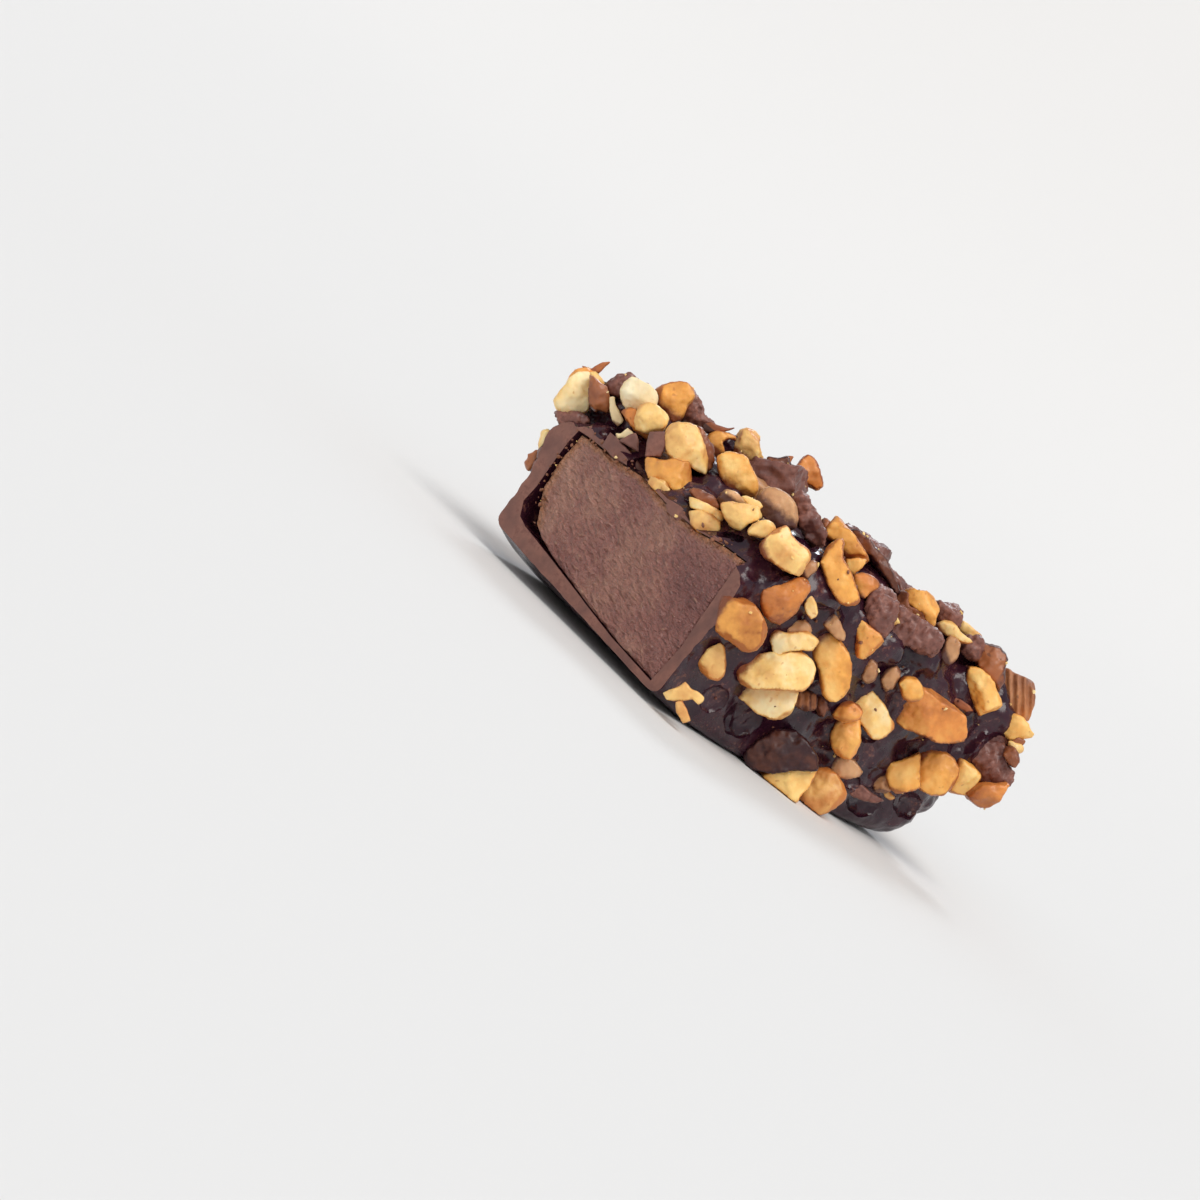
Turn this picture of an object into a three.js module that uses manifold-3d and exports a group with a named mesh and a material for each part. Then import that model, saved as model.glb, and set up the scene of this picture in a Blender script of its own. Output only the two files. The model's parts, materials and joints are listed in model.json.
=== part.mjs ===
// One cut half of a caramel stick: a bar of caramel in a chocolate coat, covered all over with chopped
// almonds. Millimetres. X is the width, Y the length and Z is up from the table. The pieces are shaped with
// the cut face at Y = 0, and the group then puts the origin in the middle of the underside, where it rests.

import * as THREE from 'three';
import { mergeVertices } from 'three/addons/utils/BufferGeometryUtils.js';
import Module from 'manifold-3d';

const wasm = await Module();
wasm.setup();

// The chocolate body, without its almonds
const bodyLength = 35.0;
const leftWall = -12.6;
const rightWall = 12.0;
const bodyHeight = 15.6;
const edgeRadius = 2.6; // rounding of the top and end edges
const footRadius = 1.1; // rounding along the underside's sides
const meshStep = 2.2; // size of the body's facets
const pastCut = 3; // the uncut bar runs on this far before the knife takes it off
const restMiddle = 17; // how far behind the cut face the origin is

// The underside lifts a little off the table at both ends
const cutCurlLength = 10;
const cutCurlRight = 0.8;
const cutCurlLeft = 2.0;
const endCurlLength = 9;
const endCurl = 0.6;
const topDip = 1.7; // the knife pressed the top down at the cut
const topDipLength = 7;

// The lumpy skin of the chocolate
const lumpHeight = 0.45;
const lumpLength = 5.5;

// The caramel and the hollow that it fills
const caramelLength = 30.4;
const coatGap = 0.3; // clearance between the caramel and its coat
const cornerGap = 0.8; // the coat has come away from the caramel's lower left corner

// Chopped almonds
const nutSink = 0.3; // share of a piece's thickness that lies in the chocolate
const nutSpacing = 0.47; // closest centres of two pieces, as a share of their two lengths added
const nutTries = 6000;
const nutCount = 92;
const nutSizes = [2.9, 5.0]; // shortest and longest piece of the scattered ones
const bareFoot = 4.5; // the scattered ones keep this far off the table
const nutTilt = 26; // the most that a piece leans, in degrees
const firstSeed = 7741;

// Each kind of piece: its width and thickness as shares of its length, the knife cuts that shape it,
// how close to the middle those cuts come, and how far the piece is bowed
const nutKinds = {
  chunk: { width: 0.84, thick: 0.74, cuts: 6, trim: 0.74, bow: 0 },
  block: { width: 0.74, thick: 0.66, cuts: 3, trim: 0.82, bow: 0 },
  slab: { width: 0.62, thick: 0.45, cuts: 4, trim: 0.78, bow: 0.05 },
  wedge: { width: 0.9, thick: 0.6, cuts: 5, trim: 0.62, bow: 0 },
  sliver: { width: 0.36, thick: 0.4, cuts: 4, trim: 0.76, bow: 0.12 },
  crescent: { width: 0.5, thick: 0.55, cuts: 5, trim: 0.8, bow: 0.3 },
  crag: { width: 0.7, thick: 0.5, cuts: 5, trim: 0.6, bow: 0.1 },
};

// The pieces that stand out on the visible side, round the cut and along the top edge: their middle
// (x, y, z), length, turn from the bar's length in degrees, kind, and an own seed for their cuts
const standouts = [
  [12.8, 1.7, 9.1, 4.4, 115, 'chunk', 11],
  [12.6, 4.1, 12.4, 4.3, 47, 'chunk', 12],
  [12.4, 2.0, 5.4, 2.9, 115, 'wedge', 13],
  [12.9, 9.1, 5.3, 4.9, 47, 'chunk', 14],
  [13.1, 7.6, 7.5, 5.4, 47, 'block', 15],
  [12.9, 7.5, 10.1, 3.6, 47, 'slab', 16],
  [13.0, 12.3, 10.3, 5.8, 110, 'crescent', 17],
  [12.7, 10.0, 12.8, 2.9, 142, 'sliver', 18],
  [12.6, 6.5, 13.1, 2.4, 115, 'sliver', 19],
  [12.5, 14.3, 13.6, 3.5, 115, 'wedge', 20],
  [12.8, 19.6, 6.0, 3.2, 115, 'block', 21],
  [13.0, 17.4, 7.8, 2.3, 47, 'chunk', 22],
  [12.6, 20.4, 8.8, 4.2, 135, 'slab', 23],
  [13.1, 25.3, 11.1, 6.2, 14, 'chunk', 24],
  [13.1, 21.5, 12.1, 2.5, 47, 'chunk', 25],
  [12.6, 29.2, 14.9, 3.9, 130, 'block', 26],
  [12.8, 27.9, 6.1, 3.3, 115, 'block', 27],
  [13.0, 30.9, 7.6, 3.8, 115, 'block', 28],
  [12.8, 33.6, 8.5, 3.3, 115, 'wedge', 29],
  [12.5, 21.8, 4.0, 3.0, 20, 'slab', 30],
  [13.3, 15.6, 1.6, 4.9, 15, 'chunk', 31],
  [13.4, 20.3, 1.6, 4.1, 80, 'block', 32],
  [12.4, 13.0, 6.8, 3.2, 100, 'slab', 33],
  [12.5, 17.1, 11.4, 2.2, 115, 'wedge', 34],
  [12.5, 19.7, 11.8, 2.0, 115, 'chunk', 35],
  [11.5, 7.9, 16.1, 5.2, 111, 'crescent', 36],
  [11.0, 2.5, 15.2, 4.4, 20, 'chunk', 37],
  [10.9, 12.4, 16.2, 2.5, 30, 'wedge', 38],
  [10.4, 35.7, 15.3, 4.4, 70, 'chunk', 39],
  [12.5, 36.0, 13.8, 3.4, 10, 'chunk', 40],
  [13.1, 35.6, 8.6, 3.5, 20, 'chunk', 41],
  [-14.4, 1.0, 13.2, 4.5, 40, 'chunk', 42],
  [-10.0, 1.6, 16.6, 3.7, 30, 'chunk', 43],
  [-7.4, 1.4, 16.1, 3.5, 60, 'chunk', 44],
  [-10.7, 5.6, 17.1, 4.3, 70, 'chunk', 45],
  [-3.2, 2.2, 16.0, 4.8, 70, 'chunk', 46],
  [-1.9, 1.2, 13.8, 4.0, 20, 'chunk', 47],
  [0.0, 5.0, 16.8, 4.3, 60, 'chunk', 48],
  [-7.0, 9.3, 17.0, 3.8, 20, 'block', 49],
  [3.4, 1.0, 14.0, 3.6, 20, 'slab', 50],
  [6.0, 1.6, 15.1, 3.6, 30, 'chunk', 51],
  [5.7, 4.7, 16.9, 4.2, 50, 'block', 52],
  [-8.8, 13.5, 17.9, 3.8, 60, 'block', 53],
  [-7.6, 19.6, 18.8, 4.6, 80, 'crescent', 54],
  [-6.0, 15.8, 17.2, 5.2, 30, 'chunk', 55],
  [-2.2, 32.8, 16.7, 4.2, 75, 'block', 56],
  [2.4, 33.6, 16.3, 3.4, 15, 'wedge', 57],
  [7.4, 34.0, 16.2, 4.0, 60, 'crag', 58],
  [4.4, 21.4, 16.5, 4.4, 60, 'wedge', 59],
  [-4.2, 6.6, 16.2, 4.4, 10, 'crag', 60],
  [-9.6, 33.0, 16.4, 6.0, 30, 'crag', 61],
  [12.2, 35.4, 10.4, 5.4, 40, 'chunk', 62],
  [2.0, 25.6, 16.4, 4.8, 120, 'crag', 63],
  [11.4, 22.6, 15.5, 4.4, 20, 'crag', 64],
  [8.4, 25.4, 17.0, 4.4, 80, 'crag', 65],
  [-13.5, 1.0, 11.2, 4.2, 0, 'chunk', 66],
  [-12.9, 1.3, 14.6, 3.4, 60, 'wedge', 67],
  [-8.6, 1.8, 15.1, 3.8, 90, 'slab', 68],
  [-10.6, 3.6, 15.7, 4.6, 30, 'crag', 69],
  [-8.6, 14.2, 16.2, 4.6, 40, 'chunk', 70],
  [8.6, 1.6, 15.1, 2.5, 90, 'slab', 71],
  [-8.0, 20.2, 17.0, 5.0, 0, 'chunk', 72],
  [6.6, 12.4, 17.2, 4.6, 100, 'chunk', 73],
  [1.8, 13.6, 16.9, 3.8, 100, 'slab', 74],
  [6.6, 16.6, 16.9, 6.0, -49, 'crescent', 75],
  [9.8, 20.8, 17.1, 3.9, 40, 'chunk', 76],
  [10.5, 24.7, 16.8, 3.0, 130, 'slab', 77],
  [8.2, 29.0, 17.0, 3.2, 120, 'block', 78],
  [10.8, 30.6, 16.1, 3.9, 110, 'chunk', 79],
  [-13.8, 0.9, 9.3, 2.5, 90, 'chunk', 80],
  [-13.7, 1.4, 7.6, 2.6, 90, 'chunk', 81],
];

// Voids where the brittle top layer broke away under the knife: place, size and turn in the cut face
const breaks = [
  [-8.4, 13.5, 3.4, 1.9, -12],
  [-4.6, 13.2, 1.5, 2.6, 8],
  [1.3, 13.9, 2.6, 1.2, 20],
  [7.0, 13.4, 2.2, 0.7, -15],
];
const breakDepth = 2.4;

// Seeded random draws between 0 and 1. The first few are thrown away, because small seeds start them near 0.
function drawsFrom(seed) {
  let state = seed;
  const next = () => {
    state = (state * 16807) % 2147483647;
    return state / 2147483647;
  };
  for (let i = 0; i < 5; i += 1) next();
  return next;
}

function solidOf(geometry) {
  const bare = geometry.clone();
  bare.deleteAttribute('normal');
  bare.deleteAttribute('uv');
  const merged = mergeVertices(bare, 1e-4);
  return new wasm.Manifold(new wasm.Mesh({
    numProp: 3,
    vertProperties: new Float32Array(merged.attributes.position.array),
    triVerts: new Uint32Array(merged.index.array),
  }));
}

function geometryOf(solid) {
  const mesh = solid.getMesh();
  const geometry = new THREE.BufferGeometry();
  geometry.setAttribute('position', new THREE.BufferAttribute(mesh.vertProperties, 3));
  geometry.setIndex(new THREE.BufferAttribute(mesh.triVerts, 1));
  return geometry;
}

// The nearest point of the rounded bar to a place on or outside it, and the way its surface faces there
function surfaceAt(place) {
  const towardsEnd = THREE.MathUtils.smoothstep(place.y, bodyLength - 8, bodyLength - 2);
  const foot = THREE.MathUtils.lerp(footRadius, edgeRadius, towardsEnd);
  const radius = THREE.MathUtils.lerp(foot, edgeRadius, THREE.MathUtils.smoothstep(place.z, 1, 6));
  const core = new THREE.Vector3(
    THREE.MathUtils.clamp(place.x, leftWall + radius, rightWall - radius),
    Math.min(place.y, bodyLength - radius),
    THREE.MathUtils.clamp(place.z, radius, bodyHeight - radius),
  );
  const normal = place.clone().sub(core).normalize();
  return { point: core.addScaledVector(normal, radius), normal };
}

// How far the underside is off the table
function curlAt(x, y) {
  const atCut = Math.max(0, 1 - y / cutCurlLength) ** 2;
  const atEnd = Math.max(0, (y - bodyLength + endCurlLength) / endCurlLength) ** 2;
  const leftShare = (rightWall - x) / (rightWall - leftWall);
  return atCut * (cutCurlRight + (cutCurlLeft - cutCurlRight) * leftShare) + atEnd * endCurl;
}

function lumpAt(p) {
  const wave = (2 * Math.PI) / lumpLength;
  const broad = Math.sin(p.x * wave * 0.7 + 1.3) * Math.sin(p.y * wave * 0.6 + 0.4);
  const fine = Math.sin((p.x + p.z) * wave * 1.3) * Math.sin((p.y - p.z) * wave * 1.1 + 2.0);
  const clearOfTable = THREE.MathUtils.smoothstep(p.z, 0.6, 3.0);
  return lumpHeight * (0.6 * broad + 0.4 * fine) * clearOfTable;
}

function chocolateBody() {
  const width = rightWall - leftWall;
  const length = bodyLength + pastCut;
  const box = new THREE.BoxGeometry(
    width, length, bodyHeight,
    Math.round(width / meshStep), Math.round(length / meshStep), Math.round(bodyHeight / meshStep),
  );
  box.translate((leftWall + rightWall) / 2, (bodyLength - pastCut) / 2, bodyHeight / 2);
  const corners = box.attributes.position;
  const place = new THREE.Vector3();
  for (let i = 0; i < corners.count; i += 1) {
    place.fromBufferAttribute(corners, i);
    if (place.y > -pastCut + 0.01) {
      const { point, normal } = surfaceAt(place);
      place.copy(point).addScaledVector(normal, lumpAt(point));
    }
    const rise = place.z / bodyHeight;
    const dip = topDip * Math.max(0, 1 - place.y / topDipLength) ** 2;
    place.z += curlAt(place.x, place.y) * (1 - rise) - dip * rise;
    corners.setXYZ(i, place.x, place.y, place.z);
  }
  return solidOf(box);
}

// A block of almond, trimmed by knife cuts in seeded directions, lying along X with its outer face up
function almondPiece(kindName, length, seed) {
  const kind = nutKinds[kindName];
  const draw = drawsFrom(seed);
  const half = new THREE.Vector3(0.5, 0.5 * kind.width, 0.5 * kind.thick).multiplyScalar(length);
  let piece = solidOf(new THREE.BoxGeometry(2 * half.x, 2 * half.y, 2 * half.z));
  for (let i = 0; i < kind.cuts; i += 1) {
    const round = 2 * Math.PI * (i + 0.7 * draw()) / kind.cuts;
    const rise = 1.3 * draw() - 0.35;
    const way = new THREE.Vector3(Math.cos(round), Math.sin(round), rise).normalize();
    const reach = Math.abs(way.x) * half.x + Math.abs(way.y) * half.y + Math.abs(way.z) * half.z;
    const depth = reach * (kind.trim + 0.14 * draw());
    piece = piece.trimByPlane([-way.x, -way.y, -way.z], -depth);
  }
  if (kind.bow > 0) {
    piece = piece.warp((v) => {
      v[1] += kind.bow * length * (4 * (v[0] / length) ** 2 - 0.4);
    });
  }
  return piece;
}

// Lays a piece with its middle at a place and its outer face along the surface there, turned and tilted
function laid(piece, place, turnDegrees, tiltDegrees) {
  const { normal } = surfaceAt(place);
  const along = new THREE.Vector3(0, 1, 0);
  if (Math.abs(normal.y) > 0.8) along.set(1, 0, 0);
  along.addScaledVector(normal, -along.dot(normal)).normalize();
  const across = new THREE.Vector3().crossVectors(normal, along);
  const turned = new THREE.Matrix4().makeBasis(along, across, normal);
  turned.multiply(new THREE.Matrix4().makeRotationZ(THREE.MathUtils.degToRad(turnDegrees)));
  turned.multiply(new THREE.Matrix4().makeRotationX(THREE.MathUtils.degToRad(tiltDegrees)));
  turned.setPosition(place);
  return piece.transform(turned.elements);
}

// Pieces at random places over the top, the left side, the far end and the upper right side, each kept only
// if it is clear of those already there. Each is listed in the same way as the pieces that stand out.
function scatteredPieces(taken) {
  const draw = drawsFrom(firstSeed);
  const names = Object.keys(nutKinds);
  const pieces = [];
  const centres = taken.map(([x, y, z, length]) => ({ at: new THREE.Vector3(x, y, z), length }));
  for (let i = 0; i < nutTries && pieces.length < nutCount; i += 1) {
    const wanted = new THREE.Vector3(
      leftWall - 1 + draw() * (rightWall - leftWall + 2),
      draw() * (bodyLength + 1),
      bareFoot + draw() * (bodyHeight - bareFoot + 1),
    );
    const face = draw();
    const share = draw() ** 1.6;
    const turn = Math.round(180 * draw());
    const kind = names[Math.floor(names.length * draw())];
    if (face < 0.5) wanted.z = bodyHeight + 1;
    else if (face < 0.72) wanted.x = leftWall - 1;
    else if (face < 0.88) wanted.y = bodyLength + 1;
    else {
      wanted.x = rightWall + 1;
      wanted.z = Math.max(wanted.z, 2 * bareFoot);
    }
    const length = nutSizes[0] + share * (nutSizes[1] - nutSizes[0]);
    const { point, normal } = surfaceAt(wanted);
    const at = point.addScaledVector(normal, length * nutKinds[kind].thick * (0.5 - nutSink));
    const clear = centres.every((other) => at.distanceTo(other.at) > nutSpacing * (length + other.length));
    if (clear) {
      centres.push({ at, length });
      pieces.push([at.x, at.y, at.z, length, turn, kind, 100 + pieces.length]);
    }
  }
  return pieces;
}

// A block of the outline's section that runs back from the cut face
function blockOf(outline, length) {
  const block = new THREE.ExtrudeGeometry(outline, { depth: length, bevelEnabled: false, curveSegments: 5 });
  block.rotateX(Math.PI / 2); // the outline's height becomes Z, its depth runs towards -Y
  block.translate(0, length, 0);
  return block;
}

// The caramel's outline in the cut face: taller on the right, its lower left corner drawn in
function caramelOutline(grow, growCorner) {
  const outline = new THREE.Shape();
  outline.moveTo(10.5 + grow, 1.65 - grow);
  outline.lineTo(10.75 + grow, 5.3);
  outline.lineTo(10.1 + grow, 12.7 + grow);
  outline.quadraticCurveTo(2.5, 11.5 + grow, -4.0, 12.2 + grow);
  outline.lineTo(-10.9 - grow, 11.5 + grow);
  outline.lineTo(-11.0 - grow, 8.9);
  outline.quadraticCurveTo(-10.9 - growCorner, 3.9 - growCorner / 3, -7.0 - growCorner / 2, 3.5 - grow);
  outline.closePath();
  return outline;
}

// The largest body of a solid, without loose scraps and with sealed hollows filled
function mainBody(solid) {
  return solid.decompose().reduce((best, next) => (next.volume() > best.volume() ? next : best));
}

function coating() {
  const pieces = standouts.concat(scatteredPieces(standouts));
  const almonds = pieces.map(([x, y, z, length, turn, kind, seed]) => {
    const piece = almondPiece(kind, length, seed);
    const tilt = nutTilt * (2 * drawsFrom(seed + 1000)() - 1);
    return laid(piece, new THREE.Vector3(x, y, z), turn, tilt);
  });
  let coat = chocolateBody();
  for (const almond of almonds) {
    coat = coat.add(almond);
  }
  for (const [x, z, width, height, turn] of breaks) {
    const chip = new THREE.CylinderGeometry(height / 2, height / 3, 2 * breakDepth, 5);
    chip.scale(width / height, 1, 1);
    chip.rotateY(THREE.MathUtils.degToRad(turn));
    chip.translate(x, 0, z);
    coat = coat.subtract(solidOf(chip));
  }
  const hollow = solidOf(blockOf(caramelOutline(coatGap, cornerGap), caramelLength + coatGap));
  coat = coat.subtract(hollow);
  coat = coat.trimByPlane([0, 1, 0], 0); // the knife
  coat = coat.trimByPlane([0, 0, 1], 0); // the table
  return mainBody(coat);
}

function namedMesh(name, geometry, color, roughness) {
  const mesh = new THREE.Mesh(geometry, new THREE.MeshStandardMaterial({ color, roughness, metalness: 0 }));
  mesh.name = name;
  return mesh;
}

const group = new THREE.Group();
group.position.y = -restMiddle;
group.add(namedMesh('coating', geometryOf(coating()), 0x3b2620, 0.45));
group.add(namedMesh('caramel', blockOf(caramelOutline(0, 0), caramelLength), 0x7d5a50, 0.6));

export default group;
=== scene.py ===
# One cut half of a caramel stick: soft caramel in a dark chocolate coat, rolled in chopped almonds.

import json
import math

import bpy
from mathutils import Matrix, Quaternion, Vector, noise
from mathutils.bvhtree import BVHTree

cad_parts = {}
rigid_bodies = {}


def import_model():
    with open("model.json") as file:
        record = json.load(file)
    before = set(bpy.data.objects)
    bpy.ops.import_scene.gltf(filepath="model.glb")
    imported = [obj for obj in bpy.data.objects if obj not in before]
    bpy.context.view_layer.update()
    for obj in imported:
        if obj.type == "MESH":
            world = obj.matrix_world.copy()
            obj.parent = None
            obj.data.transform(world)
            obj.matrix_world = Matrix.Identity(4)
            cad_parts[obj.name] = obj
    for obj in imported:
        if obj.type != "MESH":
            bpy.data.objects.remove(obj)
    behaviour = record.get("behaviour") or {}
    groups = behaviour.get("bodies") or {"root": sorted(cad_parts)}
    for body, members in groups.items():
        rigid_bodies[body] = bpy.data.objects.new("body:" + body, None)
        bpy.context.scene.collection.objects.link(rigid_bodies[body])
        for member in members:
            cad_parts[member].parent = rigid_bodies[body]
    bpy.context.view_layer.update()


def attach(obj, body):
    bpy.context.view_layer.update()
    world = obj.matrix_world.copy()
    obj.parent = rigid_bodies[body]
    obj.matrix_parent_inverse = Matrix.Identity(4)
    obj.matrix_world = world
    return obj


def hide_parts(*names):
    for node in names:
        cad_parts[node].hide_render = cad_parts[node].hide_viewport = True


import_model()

# Pieces are shaped in millimetres with the cut face at Y = 0 and the underside at Z = 0, as the solids are.
# settle() then turns them to metres and puts the origin this far behind the cut face.
restMiddle = 17.0

# The camera, fitted to the photograph's own, in the same millimetres
photo = {
    "right": (0.5343, 0.5780, 0.6169),  # the way to the picture's right, and the way back to the camera
    "back": (0.6745, -0.7313, 0.1009),
    "place": (258.98, -279.19, 41.76),
    "lens": 150.0,
    "sensor": 36.0,
    "pixels": 1200,
}

cameraBack = Vector(photo["back"]).normalized()
cameraRight = Vector(photo["right"])
cameraRight = (cameraRight - cameraBack * cameraRight.dot(cameraBack)).normalized()
cameraUp = cameraBack.cross(cameraRight)
cameraPlace = Vector(photo["place"])
focalPixels = photo["lens"] / photo["sensor"] * photo["pixels"]


# Where the line of sight through a pixel meets the plane x = value or y = value
def seenOnPlane(pixel, axis, value):
    across = (pixel[0] - photo["pixels"] / 2) / focalPixels
    upward = (photo["pixels"] / 2 - pixel[1]) / focalPixels
    sight = cameraRight * across + cameraUp * upward - cameraBack
    index = "xyz".index(axis)
    return cameraPlace + sight * ((value - cameraPlace[index]) / sight[index])


def mix(low, high, share):
    return low + (high - low) * share


def smoothStep(value, low, high):
    share = min(1.0, max(0.0, (value - low) / (high - low)))
    return share * share * (3 - 2 * share)


# The same seeded draws between 0 and 1 as in the part's source, so the almonds fall on the same places
def drawsFrom(seed):
    state = seed

    def draw():
        nonlocal state
        state = (state * 16807) % 2147483647
        return state / 2147483647

    for _ in range(5):
        draw()
    return draw


def only(piece):
    if bpy.context.mode != "OBJECT":
        bpy.ops.object.mode_set(mode="OBJECT")
    bpy.ops.object.select_all(action="DESELECT")
    piece.select_set(True)
    bpy.context.view_layer.objects.active = piece


# Puts the object's place, turn and size into its mesh
def applyPlace(piece):
    only(piece)
    bpy.ops.object.transform_apply(location=True, rotation=True, scale=True)


# Opens the piece's mesh for editing, with all of it selected
def openMesh(piece):
    only(piece)
    bpy.ops.object.mode_set(mode="EDIT")
    bpy.ops.mesh.select_all(action="SELECT")


def turnOutwards():
    bpy.ops.mesh.select_all(action="SELECT")
    bpy.ops.mesh.normals_make_consistent(inside=False)


def closeMesh():
    bpy.ops.object.mode_set(mode="OBJECT")


# Adds one modifier with its settings and applies it
def finishWith(piece, kind, **settings):
    only(piece)
    modifier = piece.modifiers.new(kind.lower(), kind)
    for name, value in settings.items():
        setattr(modifier, name, value)
    bpy.ops.object.modifier_apply(modifier=modifier.name)


# Uneven relief: lumps of the given size in millimetres
def roughen(piece, size, height, **settings):
    name = "clouds%.2f" % size
    clouds = bpy.data.textures.get(name) or bpy.data.textures.new(name, "CLOUDS")
    clouds.noise_scale = size
    clouds.noise_depth = 2
    finishWith(
        piece, "DISPLACE", texture=clouds, texture_coords="LOCAL", strength=height, mid_level=0.5, **settings,
    )


def soften(piece, voxel, rounds):
    finishWith(piece, "REMESH", mode="VOXEL", voxel_size=voxel, adaptivity=0.0)
    finishWith(piece, "SMOOTH", factor=0.5, iterations=rounds)


def keepAboveTable(piece):
    for vertex in piece.data.vertices:
        vertex.co.z = max(vertex.co.z, 0.0)


def named(piece, name):
    piece.name = name
    piece.data.name = name
    return piece


def joined(pieces, name):
    only(pieces[0])
    for piece in pieces:
        piece.select_set(True)
    if len(pieces) > 1:
        bpy.ops.object.join()
    return named(bpy.context.view_layer.objects.active, name)


# Smooth faces, except at edges sharper than the given angle
def withFaces(piece, sharpest=180):
    only(piece)
    if sharpest >= 180:
        bpy.ops.object.shade_smooth()
    else:
        bpy.ops.object.shade_smooth_by_angle(angle=math.radians(sharpest))


# Puts a finished piece in the part's frame, in metres, with its object at the origin
def settle(piece, slot, *materials, replaces=None):
    applyPlace(piece)
    piece.data.transform(Matrix.Scale(0.001, 4) @ Matrix.Translation((0.0, -restMiddle, 0.0)))
    if len(piece.data.materials) == 0:
        for material in materials:
            piece.data.materials.append(material)
    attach(piece, "root")
    if replaces:
        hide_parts(replaces)
    keepAboveTable(piece)
    triangles = sum(len(face.vertices) - 2 for face in piece.data.polygons)
    print("%s: %d triangles" % (piece.name, triangles))


# The bar's surface, the same as in the part's source

bar = {
    "length": 35.0,
    "left": -12.6,
    "right": 12.0,
    "height": 15.6,
    "edgeRadius": 2.6,
    "footRadius": 1.1,
    "footEnds": (8.0, 2.0),  # this near the far end the foot gets as round as the other edges
    "footFades": (1.0, 6.0),  # and so it does upwards, between these heights
    "pastCut": 3.0,  # the uncut bar runs on this far before the knife takes it off
    "cutCurlLength": 10.0,  # the underside lifts a little off the table at both ends
    "cutCurlRight": 0.8,
    "cutCurlLeft": 2.0,
    "endCurlLength": 9.0,
    "endCurl": 0.6,
    "topDip": 2.3,  # the knife pressed the top down at the cut
    "topDipLength": 7.0,
    "cutBreak": 0.9,  # and its brittle edge broke away there
    "cutBreakLength": 2.8,
    "lumpHeight": 0.45,
    "lumpLength": 5.5,
}


def surfaceAt(place):
    start, end = bar["footEnds"]
    towardsEnd = smoothStep(place.y, bar["length"] - start, bar["length"] - end)
    foot = mix(bar["footRadius"], bar["edgeRadius"], towardsEnd)
    radius = mix(foot, bar["edgeRadius"], smoothStep(place.z, *bar["footFades"]))
    core = Vector((
        min(max(place.x, bar["left"] + radius), bar["right"] - radius),
        min(place.y, bar["length"] - radius),
        min(max(place.z, radius), bar["height"] - radius),
    ))
    normal = (place - core).normalized()
    return core + normal * radius, normal


# Two crossing waves of lumps, flat at the foot
def lumpAt(p):
    wave = 2 * math.pi / bar["lumpLength"]
    broad = math.sin(p.x * wave * 0.7 + 1.3) * math.sin(p.y * wave * 0.6 + 0.4)
    fine = math.sin((p.x + p.z) * wave * 1.3) * math.sin((p.y - p.z) * wave * 1.1 + 2.0)
    return bar["lumpHeight"] * (0.6 * broad + 0.4 * fine) * smoothStep(p.z, 0.6, 3.0)


def curlAt(x, y):
    atCut = max(0.0, 1 - y / bar["cutCurlLength"]) ** 2
    atEnd = max(0.0, (y - bar["length"] + bar["endCurlLength"]) / bar["endCurlLength"]) ** 2
    leftShare = (bar["right"] - x) / (bar["right"] - bar["left"])
    return atCut * mix(bar["cutCurlRight"], bar["cutCurlLeft"], leftShare) + atEnd * bar["endCurl"]


# The chocolate's own surface under a place: lumpy, lifted at the ends and pressed down at the cut
def groundAt(place):
    point, normal = surfaceAt(place)
    ground = point + normal * lumpAt(point)
    rise = ground.z / bar["height"]
    dip = bar["topDip"] * max(0.0, 1 - ground.y / bar["topDipLength"]) ** 2
    dip += bar["cutBreak"] * max(0.0, 1 - max(0.0, ground.y) / bar["cutBreakLength"])
    ground.z += curlAt(ground.x, ground.y) * (1 - rise) - dip * rise
    return ground, normal


# Where the chopped almonds lie

almonds = {
    "sink": 0.3,  # share of the thickness that lies in the chocolate
    "spacing": 0.47,  # least distance between two middles, as a share of their lengths' sum
    "tries": 6000,
    "scattered": 92,
    "sizes": (2.9, 5.0),
    "smallness": 1.6,  # above 1, small pieces are the more frequent
    "faces": (0.5, 0.72, 0.88),  # shares of the draws that go to the top, the left side and the far end
    "beside": 1.0,  # a place is first drawn this far outside the bar
    "bareFoot": 4.5,
    "tilt": 26,
    "cutJitter": 0.7,  # how unevenly the knife cuts lie round a piece
    "cutRise": (1.3, 0.35),  # how far a cut looks up, less how far it looks down
    "trimJitter": 0.14,
    "firstSeed": 7741,
    "firstStandout": 11,  # number and seed of the first piece that stands out
    "firstScattered": 100,
}

# Each kind: width and thickness as shares of its length, knife cuts, how close to the middle they come, bow
almondKinds = {
    "chunk": (0.84, 0.74, 6, 0.74, 0.0),
    "block": (0.74, 0.66, 3, 0.82, 0.0),
    "slab": (0.62, 0.45, 4, 0.78, 0.05),
    "wedge": (0.9, 0.6, 5, 0.62, 0.0),
    "sliver": (0.36, 0.4, 4, 0.76, 0.12),
    "crescent": (0.5, 0.55, 5, 0.8, 0.3),
    "crag": (0.7, 0.5, 5, 0.6, 0.1),
}

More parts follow.
